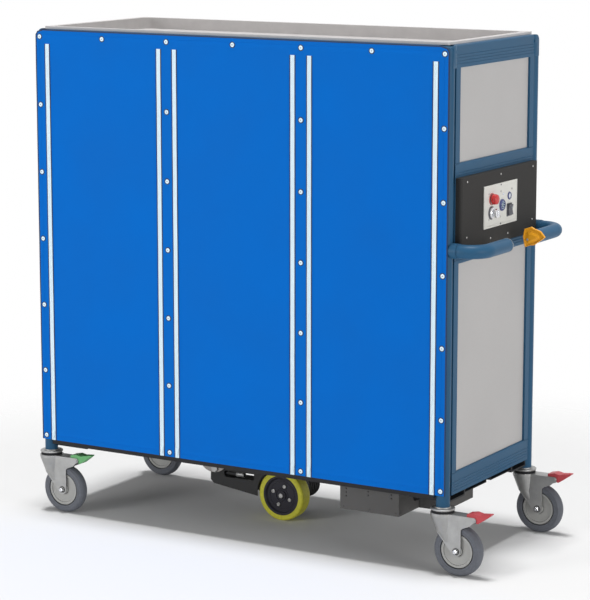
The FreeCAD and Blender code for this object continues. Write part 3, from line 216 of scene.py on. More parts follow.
def powder_coated_steel(name, base, roughness=0.42, peel=2.2, depth=0.03, edge=1.2):
    """Steel, powder coated and baked: a satin skin with a soft orange peel, and a painted highlight that
    makes its edges paler.
    """
    material, tree, _ = start(name, roughness, gloss=0.15)
    # 1.3 is how much paler the painted edge highlight is
    skin, normal, drift = patchy_edge_lit(tree, base, 0.93, 1.05, 220, edge, 1.3)
    ripple = texture(tree, "Noise", peel, Detail=1.0).outputs["Fac"]
    satin = ranged(tree, drift, roughness * 0.88, roughness * 1.12)
    return dress(material, skin, raised(tree, ripple, depth, 0.6, normal), satin)


def textured_coat_steel(name, base, grit=1.4, depth=0.08, edge=1.5):
    """Steel with a textured powder coat: matt, with a fine sandy grit that breaks up every highlight; its
    edges carry a painted highlight.
    """
    material, tree, _ = start(name, 0.68, gloss=0.12)
    # 1.5 is how much paler the painted edge highlight is
    skin, normal, _ = patchy_edge_lit(tree, base, 0.9, 1.1, 3 * grit, edge, 1.5, 2.0)
    grains = texture(tree, "Voronoi", grit).outputs["Distance"]
    return dress(material, skin, raised(tree, grains, depth, 0.5, normal))


def laminate_panel(name, base, pebble=2.6, depth=0.05):
    """High-pressure laminate board, press finished: pale and even, with a faint pebbled face."""
    material, tree, _ = start(name, 0.5, ior=1.52, gloss=0.3)
    skin, drift = patches(tree, tone(base, 0.965), tone(base, 1.03), 300)
    pebbles = texture(tree, "Voronoi", pebble, settings={"feature": "SMOOTH_F1"}).outputs["Distance"]
    specks = ranged(tree, pebbles, 0.975, 1.01, 0.1, 0.6)
    shade = add(tree, "ShaderNodeVectorMath", {0: skin, 1: specks}, operation="MULTIPLY").outputs["Vector"]
    return dress(material, shade, raised(tree, pebbles, depth, 0.45), ranged(tree, drift, 0.46, 0.56))


def moulded_plastic(name, base, roughness=0.45, grain=1.2, depth=0.04, gloss=0.3, edge=0.8):
    """Injection-moulded plastic: even colour, a spark-eroded grain and softened edges, made paler by a
    painted highlight.
    """
    material, tree, _ = start(name, roughness, ior=1.49, gloss=gloss)
    # 1.15 is how much paler the painted edge highlight is
    skin, normal, drift = patchy_edge_lit(tree, base, 0.95, 1.04, 40, edge, 1.15)
    grains = texture(tree, "Noise", grain, Detail=2.0).outputs["Fac"]
    satin = ranged(tree, drift, roughness * 0.9, roughness * 1.1)
    return dress(material, skin, raised(tree, grains, depth, 0.5, normal), satin)


def zinc_plated_steel(name, base, spangle=5.0, roughness=0.4, metallic=0.75, depth=0.02, edge=1.0):
    """Pressed steel, zinc plated: a soft grey metal whose brightness shifts from patch to patch, with a
    painted highlight on its edges.
    """
    material, tree, _ = start(name, roughness, metallic)
    # 1.35 is how much paler the painted edge highlight is
    skin, normal, _ = patchy_edge_lit(tree, base, 0.88, 1.08, 30, edge, 1.35)
    flakes = texture(tree, "Voronoi", spangle).outputs["Distance"]
    satin = ranged(tree, flakes, roughness * 0.85, roughness * 1.25)
    return dress(material, skin, raised(tree, flakes, depth, 0.3, normal), satin)


def brushed_stainless(name, base, line=0.8, depth=0.01):
    """Stainless sheet, belt brushed: fine parallel scratches that streak the light."""
    material, tree, _ = start(name, 0.34, 1.0)
    place = add(tree, "ShaderNodeTexCoord").outputs["Object"]
    stretched = add(tree, "ShaderNodeMapping", {"Vector": place, "Scale": (0.02, 1.0, 1.0)}).outputs["Vector"]
    scratches = texture(tree, "Noise", line, stretched, Detail=2.0).outputs["Fac"]
    skin = mixed(tree, scratches, tone(base, 0.85), tone(base, 1.1))
    return dress(material, skin, raised(tree, scratches, depth, 0.4), ranged(tree, scratches, 0.26, 0.44))


def coated_polyester(name, base, weave, depth=0.03):
    """Polyester cloth coated with soft PVC: a satin face through which the base weave just shows."""
    material, tree, _ = start(name, 0.62, ior=1.53, gloss=0.05)
    skin, drift = patches(tree, tone(base, 0.965), tone(base, 1.03), 260)
    # drawn with threads twice as wide as the real ones, or they would not show
    threads = [texture(tree, "Wave", 4 * weave / MM, Distortion=0.4, Detail=1.0,
                       settings={"bands_direction": direction}).outputs["Fac"] for direction in ("X", "Z")]
    cross = add(tree, "ShaderNodeMath", {0: threads[0], 1: threads[1]}, operation="ADD").outputs["Value"]
    shade = ranged(tree, cross, 0.985, 1.01, 0.0, 2.0)
    thread = add(tree, "ShaderNodeVectorMath", {0: skin, 1: shade}, operation="MULTIPLY").outputs["Vector"]
    return dress(material, thread, raised(tree, cross, depth, 0.35), ranged(tree, drift, 0.58, 0.68))


def woven_tape(name, base, rib=1.6, depth=0.1):
    """Polyester zip tape, woven in a herringbone: matt and bright, ribbed along its length."""
    material, tree, shader = start(name, 0.75, ior=1.53)
    ribs = texture(tree, "Wave", math.tau * rib, Distortion=0.6,
                   settings={"bands_direction": "DIAGONAL"}).outputs["Fac"]
    shader.inputs["Sheen Weight"].default_value = 0.1
    skin = mixed(tree, ribs, tone(base, 0.93), tone(base, 1.03))
    return dress(material, skin, raised(tree, ribs, depth, 0.5))


def soft_rubber(name, base, roughness=0.7, scuff=9.0, pore=1.5, depth=0.06):
    """Moulded rubber or polyurethane: matt, with scuffs and dust that lighten it in patches."""
    material, tree, _ = start(name, roughness, ior=1.52, gloss=0.2)
    skin, drift = patches(tree, tone(base, 0.9), tone(base, 1.1), scuff, 5.0)
    pores = texture(tree, "Noise", pore, Detail=3.0).outputs["Fac"]
    return dress(material, skin, raised(tree, pores, depth, 0.5),
                 ranged(tree, drift, roughness * 0.85, roughness * 1.12))


def lamp_lens(name, base):
    """Moulded polycarbonate lens: clear-toned and glossy over a pale reflector."""
    material, tree, shader = start(name, 0.12, ior=1.58)
    shader.inputs["Coat Weight"].default_value = 0.6
    return dress(material, patches(tree, tone(base, 0.9), tone(base, 1.1), 4)[0])


def make_finishes(colours, sizes):
    """Every finish on the cart by the material slot that it fills."""
    steel = srgb("#c9cccd")
    return {
        "frame_paint": powder_coated_steel("frame_powder_coat", colours.frame),
        "panel_grey": laminate_panel("grey_laminate", colours.panel),
        "inner_sheet": brushed_stainless("brushed_stainless", steel),
        "underframe": powder_coated_steel("underframe_powder_coat", srgb("#2e2f31"), 0.5),
        "tray_grey": moulded_plastic("vacuum_formed_abs", colours.tray, 0.5, 2.0),
        "cover_blue": coated_polyester("coated_polyester_cloth", colours.cover, sizes.weave),
        "zip_white": woven_tape("woven_zip_tape", colours.white),
        "zip_metal": moulded_plastic("enamelled_zip_slider", colours.white, 0.3),
        "stud_white": moulded_plastic("acetal_press_stud", colours.white, 0.28),
        "castor_zinc": zinc_plated_steel("zinc_plated_fork", colours.castor),
        "castor_seal": soft_rubber("nitrile_seal", srgb("#232325")),
        "castor_tyre": soft_rubber("thermoplastic_rubber_tyre", colours.tyre, 0.6),
        "castor_hub": moulded_plastic("moulded_polypropylene_hub", colours.hub, 0.42),
        "pedal_red": moulded_plastic("red_nylon_pedal", colours.brake, 0.4),
        "pedal_green": moulded_plastic("green_nylon_pedal", colours.direction, 0.4),
        "drive_dark": powder_coated_steel("drive_arm_coat", colours.dark, 0.5),
        "drive_bracket": zinc_plated_steel("zinc_plated_bracket", srgb("#8e8a87")),
        "drive_hub": powder_coated_steel("black_hub_enamel", srgb("#34333a"), 0.35),
        "drive_tread": soft_rubber("cast_polyurethane_tread", colours.tread, 0.42),
        "spring_steel": zinc_plated_steel("oiled_spring_steel", srgb("#5c5d60"), roughness=0.3, metallic=1.0),
        "box_grey": powder_coated_steel("box_powder_coat", colours.boxes, 0.48),
        "control_charcoal": textured_coat_steel("control_box_coat", colours.control),
        "plate_white": powder_coated_steel("switch_plate_coat", colours.plate, 0.38),
        "estop_red": moulded_plastic("red_polycarbonate", srgb("#c22626"), 0.18, gloss=0.6),
        "key_silver": zinc_plated_steel("chromed_knob", srgb("#d8d9dc"), roughness=0.16, metallic=1.0),
        "switch_grey": moulded_plastic("black_rocker_nylon", srgb("#55555c"), 0.35),
        "socket_blue": moulded_plastic("blue_socket_nylon", srgb("#4a5080"), 0.35),
        "lamp_clear": lamp_lens("lamp_lens", srgb("#d9dfe8")),
        "screw_steel": zinc_plated_steel("plated_screws", srgb("#a9a8a6"), roughness=0.3),
        "lever_orange": moulded_plastic("orange_glass_filled_nylon", colours.lever, 0.38),
        # a woven tape finish in the dark navy, which is painted shade along edges, zips and studs
        "painted_shade_edge": woven_tape("dark_tape_for_painted_shade", colours.shade_binding),
    }


def finish(name):
    """The finish that fills a material slot, made by the first operator."""
    return bpy.data.materials[bpy.context.scene["finish_" + name]]


def paint(piece, slot_name):
    piece.data.materials.clear()
    piece.data.materials.append(finish(slot_name))


# ---------------------------------------------------------------- mesh helpers
def to_piece(name, bm, body, slot_name, smooth=40.0, look=None):
    """Turns a bmesh into a piece that rides on a body and takes its finish from a slot, or another look."""
    mesh = bpy.data.meshes.new(name)
    bmesh.ops.recalc_face_normals(bm, faces=bm.faces)
    bm.to_mesh(mesh)
    bm.free()
    piece = bpy.data.objects.new(name, mesh)
    bpy.context.scene.collection.objects.link(piece)
    mesh.shade_smooth()
    if smooth < 180:
        mesh.set_sharp_from_angle(angle=math.radians(smooth))
    paint(piece, look or slot_name)
    if body:
        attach(piece, body)
    return piece


def revolve(bm, outline, centre, axis, steps=32):
    """Turns (radius, height) points round an axis through centre; the ends close on the axis."""
    axis = Vector(axis).normalized()
    side = axis.orthogonal().normalized()
    other = axis.cross(side)
    rings = []
    for radius, height in outline:
        middle = Vector(centre) + axis * height
        if radius < 1e-7:
            rings.append([bm.verts.new(middle)])
            continue
        rings.append([bm.verts.new(middle + (side * math.cos(turn) + other * math.sin(turn)) * radius)
                      for turn in (math.tau * step / steps for step in range(steps))])
    for low, high in zip(rings[:-1], rings[1:]):
        for step in range(steps):
            after = (step + 1) % steps
            if len(low) == 1:
                bm.faces.new((low[0], high[after], high[step]))
            elif len(high) == 1:
                bm.faces.new((low[step], low[after], high[0]))
            else:
                bm.faces.new((low[step], low[after], high[after], high[step]))
    return rings


def ring(bm, outline, centre, axis, steps=48):
    """Turns a closed (radius, height) outline in millimetres, clear of the axis, round it."""
    points = [(radius * MM, height * MM) for radius, height in outline]
    rings = revolve(bm, points + points[:1], centre, axis, steps)
    bmesh.ops.remove_doubles(bm, verts=rings[0] + rings[-1], dist=0.01 * MM)


def knob(bm, outline, centre, axis, steps=32):
    """Turns a (radius, height) outline in millimetres that starts and ends on the axis."""
    revolve(bm, [(radius * MM, height * MM) for radius, height in outline], centre, axis, steps)


def turned(name, body, slot_name, outlines, spots, steps=48, smooth=40.0, look=None):
    """A piece of turned shapes: each outline, in millimetres, at each spot, a centre with an axis."""
    bm = bmesh.new()
    for centre, axis in spots:
        for outline in outlines:
            turn = ring if outline[0][0] else knob
            turn(bm, outline, centre, axis, steps)
    return to_piece(name, bm, body, slot_name, smooth, look)


def circle(count, radius, across, up, first=0.0):
    """Offsets to points spread evenly round a circle; radius is in millimetres, first in degrees."""
    turns = [math.radians(first) + math.tau * number / count for number in range(count)]
    return [(across * math.cos(turn) + up * math.sin(turn)) * radius * MM for turn in turns]


def sleeve(bm, rows):
    """Joins closed rows of vertices, one after the other, and closes both ends."""
    for below, above in zip(rows[:-1], rows[1:]):
        for k in range(len(below)):
            after = (k + 1) % len(below)
            bm.faces.new((below[k], below[after], above[after], above[k]))
    bm.faces.new(rows[0])
    bm.faces.new(rows[-1])


def block(bm, centre, across, along, deep, bevel=0.0, segments=2):
    """A box with rounded edges; across, along and deep are its half sizes as vectors."""
    corners = [Vector(centre) + across * i + along * j + deep * k for i in (-1, 1) for j in (-1, 1)
               for k in (-1, 1)]
    verts = [bm.verts.new(corner) for corner in corners]
    faces = [bm.faces.new([verts[index] for index in loop]) for loop in
             ((0, 1, 3, 2), (4, 6, 7, 5), (0, 4, 5, 1), (2, 3, 7, 6), (0, 2, 6, 4), (1, 5, 7, 3))]
    if bevel:
        edges = {edge for face in faces for edge in face.edges}
        bmesh.ops.bevel(bm, geom=list(edges), offset=bevel, segments=segments, affect="EDGES", profile=0.5)


def lines(low, high, step, marks=()):
    """Coordinates from low to high, about a step apart, with the marks among them."""
    stops = sorted({low, high, *[mark for mark in marks if low < mark < high]})
    found = [low]
    for left, right in zip(stops[:-1], stops[1:]):
        count = max(1, round((right - left) / step))
        found += [left + (right - left) * (number + 1) / count for number in range(count)]
    return found


def ease(value):
    value = max(0.0, min(1.0, value))
    return value * value * (3 - 2 * value)


# ---------------------------------------------------------------- the cloth front
@functools.lru_cache
def cover_box():
    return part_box("front_cover")


@functools.lru_cache
def door_boxes():
    return {place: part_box("door_" + place) for place in DOORS}


@functools.lru_cache
def stud_columns():
    """The four stud columns' X, from the cover's ends and the strips between the doors."""
    low, high = cover_box()
    doors = door_boxes()
    edge = 16 * MM
    between = [(doors[a][1].x + doors[b][0].x) / 2 for a, b in (("left", "middle"), ("middle", "right"))]
    return [low.x + edge, *between, high.x - edge]


@functools.lru_cache
def stud_places():
    """Each stud's X and Z: seven to a column and one between the columns at the head."""
    low, high = cover_box()
    columns = stud_columns()
    head, foot, rows = high.z - 24 * MM, low.z + 14 * MM, 7
    places = [(x, foot + row * (head - foot) / (rows - 1)) for x in columns for row in range(rows)]
    return places + [((a + b) / 2, head) for a, b in zip(columns[:-1], columns[1:])]


def hem_profile(distance, sizes):
    """How far the cloth stands up at a distance from its outer edge: a double layer, then a step."""
    return sizes.hem_rise * (1 - ease((distance - sizes.hem_width) / (1.5 * MM)))


def hem_marks(sizes):
    """Distances from an edge at which the cloth needs a line of its mesh, so that the hem's step is sharp."""
    return [sizes.hem_width + step * MM for step in (0.0, 0.75, 1.5)]


def cover_relief(x, z, sizes):
    """How far the fixed cover stands off its board: held at each stud and just slack between."""
    low, high = cover_box()
    near = min((x - sx) ** 2 + (z - sz) ** 2 for sx, sz in stud_places())
    free = 1 - math.exp(-near / (0.05 ** 2))
    wave = 0.5 + 0.5 * noise.noise(Vector((x * 9, 3.1, z * 5)))
    edge = min(x - low.x, high.x - x, z - low.z, high.z - z)
    return free * wave * 0.7 * MM + hem_profile(edge, sizes)


def door_relief(x, z, place, sizes):
    """How far a door bellies out: long upright folds that die out at its zips and its top."""
    low, high = door_boxes()[place]
    across = (x - low.x) / (high.x - low.x)
    up = (z - low.z) / (high.z - low.z)
    seed = 7.3 * DOORS.index(place)
    held = math.sin(math.pi * max(0.0, min(1.0, across))) ** 0.8 * ease((1 - up) * 7)
    folds = 0.5 + 0.5 * noise.noise(Vector((x * 7 + seed, seed, z * 1.3)))
    small = 0.5 + 0.5 * noise.noise(Vector((x * 15 - seed, 1.7, z * 4)))
    return held * sizes.slack * (0.55 * folds + 0.25 * small + 0.2) + hem_profile(z - low.z, sizes)


def corner_limit(x, low, high):
    """The eased top corners: the cloth's highest Z at an X, as in the solid."""
    inset = min(x - low.x, high.x - x)
    if inset >= CORNER_RUN:
        return high.z
    knee = CORNER_RUN * 0.25
    if inset > knee:
        return high.z - CORNER_DROP * 0.35 * (CORNER_RUN - inset) / (CORNER_RUN - knee)
    return high.z - CORNER_DROP + (CORNER_DROP * 0.65) * inset / knee


def cloth(xs, zs, surface, thickness, shape=None):
    """A cloth mesh over a grid of lines, with its face towards -Y and its thickness behind it."""
    bm = bmesh.new()

    def layer(back):
        return [[bm.verts.new((x, surface(x, z) + back, shape(x, z) if shape else z)) for z in zs]
                for x in xs]

    front, rear = layer(0), layer(thickness)
    last_x, last_z = len(xs) - 1, len(zs) - 1
    for i in range(last_x):
        for j in range(last_z):
            bm.faces.new((front[i][j], front[i + 1][j], front[i + 1][j + 1], front[i][j + 1]))
            bm.faces.new((rear[i][j], rear[i][j + 1], rear[i + 1][j + 1], rear[i + 1][j]))
    rim = [(i, 0) for i in range(last_x)] + [(last_x, j) for j in range(last_z)]
    rim += [(i, last_z) for i in range(last_x, 0, -1)] + [(0, j) for j in range(last_z, 0, -1)]
    for (i, j), (k, m) in zip(rim, rim[1:] + rim[:1]):
        bm.faces.new((front[i][j], rear[i][j], rear[k][m], front[k][m]))
    return bm


def stitch_row(bm, first, last, surface, sizes):
    """One row of stitches from first to last, as (x, z), lying on a surface."""
    run = math.dist(first, last)
    ax, az = (last[0] - first[0]) / run, (last[1] - first[1]) / run
    half = sizes.stitch_length / 2
    for number in range(int(run / sizes.stitch_pitch)):
        at = (number + 0.5) * sizes.stitch_pitch
        x, z = first[0] + ax * at, first[1] + az * at
        y = surface(x, z)
        block(bm, (x, y - 0.12 * MM, z), Vector((ax, 0, az)) * half, Vector((az, 0, -ax)) * 0.35 * MM,
              Vector((0, 0.3 * MM, 0)))


class MEALCART_OT_front_cover(bpy.types.Operator):
    """Make the fixed cloth cover, with its hems, stitching and a dark binding whose tone is painted shade at
    its edges, and dark seals under the floor that are painted shade below the cover
    """
    bl_idname = "mealcart.front_cover"
    bl_label = "Front cover"

    def execute(self, context):
        sizes = context.scene.cart_sizes
        low, high = cover_box()
        doors = door_boxes()
        window_top = doors["middle"][1].z
        hem = hem_marks(sizes)
        marks_x = [low.x + w for w in hem] + [high.x - w for w in hem]
        marks_z = [low.z + w for w in hem] + [high.z - w for w in hem]
        top_zone = 45 * MM

        def surface(x, z):
            return low.y - cover_relief(x, z, sizes)

        def shape(x, z):
            base = high.z - top_zone
            if z <= base:
                return z
            return base + (z - base) * (corner_limit(x, low, high) - base) / top_zone

        lefts = [low.x] + [doors[place][1].x + DOOR_GAP for place in DOORS]
        rights = [doors[place][0].x - DOOR_GAP for place in DOORS] + [high.x]
        parts = [("cover_head_band", low.x, high.x, window_top, high.z)]
        parts += [(f"cover_strip_{number + 1}", left, right, low.z, window_top)
                  for number, (left, right) in enumerate(zip(lefts, rights))]
        thread = self.stitching(low, high, surface, sizes)
        for name, x0, x1, z0, z1 in parts:
            xs = lines(x0, x1, sizes.cloth_step, marks_x)
            zs = lines(z0, z1, sizes.cloth_step, marks_z)
            bm = cloth(xs, zs, surface, sizes.cloth_thickness, shape)
            piece = to_piece(name, bm, "cart", "cover_blue", 60)
            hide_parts("front_cover")
        self.shade_binding(low, high, surface)
        self.foot_shade_seals()
        return {"FINISHED"}

    def shade_binding(self, low, high, surface):
        """A dark tape that binds the cover's two upright edges and its top, round the eased corners; its dark
        tone is painted shade along those edges.
        """
        width, step, rows = 4.2 * MM, 30 * MM, []
        corner = [CORNER_RUN * share for share in (0.0, 0.12, 0.25, 0.45, 0.7, 1.0)]
        upright = lines(low.z, high.z - CORNER_DROP - 4 * MM, step)
        xs = [low.x + inset for inset in corner]
        xs += lines(low.x + 40 * MM, high.x - 40 * MM, step) + [high.x - inset for inset in reversed(corner)]
        path = [(low.x, z) for z in upright]
        path += [(x, corner_limit(x, low, high)) for x in xs]
        path += [(high.x, z) for z in reversed(upright)]
        bm = bmesh.new()
        for index, (x, z) in enumerate(path):
            before, after = path[max(0, index - 1)], path[min(len(path) - 1, index + 1)]
            run = Vector((after[0] - before[0], 0, after[1] - before[1])).normalized()
            inward = Vector((run.z, 0, -run.x))
            face = surface(min(max(x, low.x), high.x), z)
            outline = ((0, 0.9), (0, -0.25), (0.15, -0.45), (0.8, -0.45), (1, -0.2), (1, 0.3))
            rows.append([bm.verts.new(Vector((x, face + height * MM, z)) + inward * share * width)
                         for share, height in outline])
        sleeve(bm, rows)
        # painted shade: the dark tape darkens the cover's outline
        to_piece("cover_shade_binding", bm, "cart", "cover_blue", look="painted_shade_edge")

    def foot_shade_seals(self):
        """A rubber seal clipped under the foot of each long rail, with a lip that hangs below it; its black
        is painted shade below the cover's foot.
        """
        low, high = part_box("bottom_rails")
        bm = bmesh.new()
        section = ((-1.3, 5.6), (-0.05, 5.6), (-0.05, -0.05), (14, -0.05), (14, -3), (3, -3), (2, -4),
                   (2, -7.2), (1.4, -7.8), (-0.7, -7.8), (-1.3, -7.2))
        for side, y in ((1, low.y), (-1, high.y)):
            sleeve(bm, [[bm.verts.new((x, y + side * out * MM, low.z + rise * MM)) for out, rise in section]
                        for x in (low.x, high.x)])
        # painted shade: black strip where the rail below the cover lies in shade
        to_piece("foot_shade_seals", bm, "cart", "castor_seal", 30)

    def stitching(self, low, high, surface, sizes):
        """Stitches along the hem, up both ends and across the top."""
        threads = bmesh.new()
        inset = sizes.hem_width - 3 * MM
        corners = [(low.x + inset, low.z + inset), (low.x + inset, high.z - inset),
                   (high.x - inset, high.z - inset), (high.x - inset, low.z + inset)]
        for first, last in zip(corners[:-1], corners[1:]):
            stitch_row(threads, first, last, surface, sizes)
        return to_piece("cover_stitching", threads, "cart", "cover_blue", 180)


class MEALCART_OT_doors(bpy.types.Operator):
    """Make the three cloth doors, which hang from the cover and belly out in long folds"""
    bl_idname = "mealcart.doors"
    bl_label = "Doors"

    def execute(self, context):
        sizes = context.scene.cart_sizes
        for place, (low, high) in door_boxes().items():
            face = low.y
            xs = lines(low.x, high.x, sizes.cloth_step)
            zs = lines(low.z, high.z, sizes.cloth_step, [low.z + w for w in hem_marks(sizes)])

            def surface(x, z, place=place, face=face):
                return face - door_relief(x, z, place, sizes)

            bm = cloth(xs, zs, surface, sizes.cloth_thickness)
            door = to_piece(f"door_{place}_cloth", bm, None, "cover_blue", 60)
            threads = bmesh.new()
            row, sides = low.z + sizes.hem_width - 3 * MM, (low.x + 4 * MM, high.x - 4 * MM)
            stitch_row(threads, (sides[0], row), (sides[1], row), surface, sizes)
            for x in sides:
                stitch_row(threads, (x, low.z + 8 * MM), (x, high.z - 60 * MM), surface, sizes)
            thread = to_piece(f"door_{place}_stitching", threads, "door_" + place, "cover_blue", 180)
            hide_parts("door_" + place)
            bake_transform(door)
        return {"FINISHED"}


class MEALCART_OT_zips(bpy.types.Operator):
    """Make the zip tapes with their interlocked coils, dark strips beside them that are painted shade, and
    the sliders
    """
    bl_idname = "mealcart.zips"
    bl_label = "Zips"

    def execute(self, context):
        sizes = context.scene.cart_sizes
        foot, head = (corner.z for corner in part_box("zip_tapes"))
        half = 8.25 * MM
        ribbon = [(half * share, height) for share, height in
                  ((-1, 0.0), (-0.97, 0.5), (-0.86, 0.65), (-0.4, 0.6), (-0.3, 0.8), (0.3, 0.8), (0.4, 0.6),
                   (0.86, 0.65), (0.97, 0.5), (1, 0.0))]
        # painted shade: dark strips either side of each tape, in the dark navy, for the shade beside the zips
        edges = [[(side * (half + reach * MM), height) for reach, height in
                  ((-1.1, 0.5), (-0.9, 0.9), (2.3, 0.6), (2.6, 0.05))] for side in (-1, 1)]
        tapes, teeth, shade_selvedges = bmesh.new(), bmesh.new(), bmesh.new()
        for place, (low, high) in door_boxes().items():
            for x in (low.x - DOOR_GAP - half, high.x + DOOR_GAP + half):
                self.strip(tapes, x, foot, head, ribbon, sizes)
                self.coil(teeth, x, foot, head, sizes)
                for edge in edges:
                    self.strip(shade_selvedges, x, foot, head, edge, sizes)
            self.sliders(place)
        tape = to_piece("zip_tape_pairs", tapes, "cart", "zip_white")
        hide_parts("zip_tapes")
        to_piece("zip_coils", teeth, "cart", "zip_white")
        to_piece("zip_shade_selvedges", shade_selvedges, "cart", "zip_white", look="painted_shade_edge")
        return {"FINISHED"}

    def strip(self, bm, x, foot, head, profile, sizes):
        """A ribbon that follows the cloth under it; the profile is (across, height in millimetres)."""
        rows, face = [], cover_box()[0].y
        for z in lines(foot, head, sizes.cloth_step * 1.5):
            y = face - cover_relief(x, z, sizes) - 0.05 * MM
            rows.append([bm.verts.new((x + across, y - height * MM, z)) for across, height in profile])
        sleeve(bm, rows)

    def coil(self, bm, x, foot, head, sizes):
        """Two rows of teeth that mesh down the middle of the tape."""
        pitch, face = sizes.tooth_pitch, cover_box()[0].y
        for number in range(int((head - foot) / pitch) - 1):
            for side in (-1, 1):
                z = foot + (number + 0.5 + 0.25 * side) * pitch
                y = face - cover_relief(x, z, sizes) - 1.25 * MM
                block(bm, (x + side * 0.8 * MM, y, z), ALONG * 1.7 * MM, OUT * -0.55 * MM, UP * pitch * 0.19)

    def sliders(self, place):
        """Flared slider bodies with a bridge and a rounded pull."""
        low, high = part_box("zip_sliders_" + place)
        bm = bmesh.new()
        half, back, front = 6 * MM, high.y, low.y
        for x in (low.x + half, high.x - half):
            for drop, share in ((5, 1.0), (13, 0.8)):
                block(bm, (x, back - 1.1 * MM, high.z - drop * MM), ALONG * half * share,
                      OUT * -1.1 * MM, UP * 5 * MM, 0.8 * MM)
            block(bm, (x, back - 2.4 * MM, high.z - 9 * MM), ALONG * 1.4 * MM, OUT * -0.6 * MM,
                  UP * 5 * MM, 0.4 * MM)
            block(bm, (x, front + 0.7 * MM, (high.z + low.z) / 2 - 4 * MM), ALONG * 3 * MM,
                  OUT * -0.6 * MM, UP * ((high.z - low.z) / 2 - 4 * MM), 0.5 * MM)
        piece = to_piece(f"zip_sliders_{place}_shaped", bm, "sliders_" + place, "zip_metal")
        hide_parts("zip_sliders_" + place)


class MEALCART_OT_studs(bpy.types.Operator):
    """Make the press studs: a domed cap with a grey core in its dimple, on a dark washer whose tone is
    painted shade round the cap
    """
    bl_idname = "mealcart.studs"
    bl_label = "Press studs"

    def execute(self, context):
        low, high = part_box("cover_studs")
        radius, rise = 7.1, (high.y - low.y) / MM
        cap = [(radius * out, rise * up) for out, up in
               ((0, 0), (0.98, 0), (1, 0.12), (0.97, 0.4), (0.86, 0.72), (0.66, 0.94), (0.5, 1), (0.36, 0.97),
                (0.3, 0.8), (0.24, 0.74), (0, 0.74))]
        washer = [(6.8, 0), (10.0, 0), (10.0, 0.4), (9.6, 0.8), (6.8, 0.9)]
        core = [(0, 1.8), (2.0, 1.8), (2.0, 2.15), (0, 2.25)]
        spots = [((x, high.y, z), OUT) for x, z in stud_places()]
        # painted shade: the dark washer rings each cap
        turned("press_stud_shade_washers", "cart", "stud_white", [washer], spots, 28, look="painted_shade_edge")
        turned("press_stud_cores", "cart", "stud_white", [core], spots, 12, look="castor_hub")
        studs = turned("press_stud_caps", "cart", "stud_white", [cap], spots, 28, 50)
        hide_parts("cover_studs")
        return {"FINISHED"}


# ---------------------------------------------------------------- castors and drive unit
def middle_of(node):
    low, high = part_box(node)
    return (low + high) / 2


class MEALCART_OT_castors(bpy.types.Operator):
    """Make the castors' fittings: hub discs, tyre beads, axle nuts, pedal ribs and post collars"""
    bl_idname = "mealcart.castors"
    bl_label = "Castor fittings"

    def execute(self, context):
        for place in PLACES:
            centre = middle_of("castor_hub_" + place)
            self.wheel(place, centre)
            self.nuts(place, centre)
            self.pedal(place)
        self.post_rings()
        return {"FINISHED"}

    def wheel(self, place, centre):
        """A dished disc in each side of the hub and a moulded bead on each side of the tyre."""
        disc = [(18.4, 10.8), (18.4, 11.8), (21, 12.4), (34, 12.0), (41, 12.9), (44.6, 12.9), (44.6, 11.6),
                (41, 11.6), (34, 10.8), (21, 11.0)]
        beads = [[(61, 16.9), (61.4, 17.4), (62.4, 17.4), (62.8, 16.9)],
                 [(70, 16.9), (70.3, 17.3), (71, 17.3), (71.3, 16.9)]]
        sides = [(centre, OUT), (centre, -OUT)]
        turned("castor_disc_" + place, "wheel_" + place, "castor_hub", [disc], sides)
        turned("tyre_beads_" + place, "wheel_" + place, "castor_tyre", beads, sides, 64)

    def nuts(self, place, centre):
        """A bright hexagon nut over each end of the axle, on a dark washer."""
        nut = [(0, 28.5), (7.2, 28.5), (7.2, 31.0), (6.2, 32.2), (2.6, 32.2), (2.2, 31.4), (0, 31.4)]
        washers = [[(9.7, 22.6), (11.0, 22.6), (11.0, 23.0), (10.6, 23.4), (9.7, 23.4)],
                   [(5.8, 28.5), (8.6, 28.5), (8.6, 29.0), (5.8, 29.2)]]
        sides = [(centre, OUT), (centre, -OUT)]
        turned("axle_nuts_" + place, "swivel_" + place, "screw_steel", [nut], sides, 6, 30, "key_silver")
        turned("axle_washers_" + place, "swivel_" + place, "castor_seal", washers, sides, smooth=30)

    def pedal(self, place):
        """Ribs across the pedal's toe and two bars on its heel for grip."""
        low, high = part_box("castor_pedal_" + place)
        middle = (low.y + high.y) / 2
        toe, dip = Vector((high.x, middle, high.z)), Vector((high.x - 38 * MM, middle, high.z - 5.5 * MM))
        slope = (toe - dip).normalized()
        normal = Vector((-slope.z, 0, slope.x))
        bm = bmesh.new()
        for share in (0.22, 0.42, 0.62, 0.82):
            half = (16.5 - 8.5 * share) * MM
            block(bm, dip + (toe - dip) * share, slope * 1.1 * MM, OUT * -half, normal * 0.9 * MM, 0.4 * MM)
        for reach, drop in ((11.0, 5.94), (3.5, 7.29)):
            block(bm, (low.x + reach * MM, middle, high.z - drop * MM), ALONG * 0.9 * MM, OUT * -13 * MM,
                  UP * 0.9 * MM, 0.3 * MM)
        slot_name = "pedal_green" if place == "front_left" else "pedal_red"
        to_piece("pedal_ribs_" + place, bm, "pedal_" + place, slot_name)

    def post_rings(self):
        """A turned collar round the foot of each post, on the top disc."""
        low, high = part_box("corner_posts")
        spots = [((x, y, low.z + 0.1 * MM), UP) for x in (low.x + TUBE_RADIUS, high.x - TUBE_RADIUS)
                 for y in (low.y + TUBE_RADIUS, high.y - TUBE_RADIUS)]
        collar = [(21.3, 0), (24.4, 0), (24.4, 2.2), (23.6, 3.2), (21.3, 3.2)]
        turned("post_collars", "cart", "castor_zinc", [collar], spots)


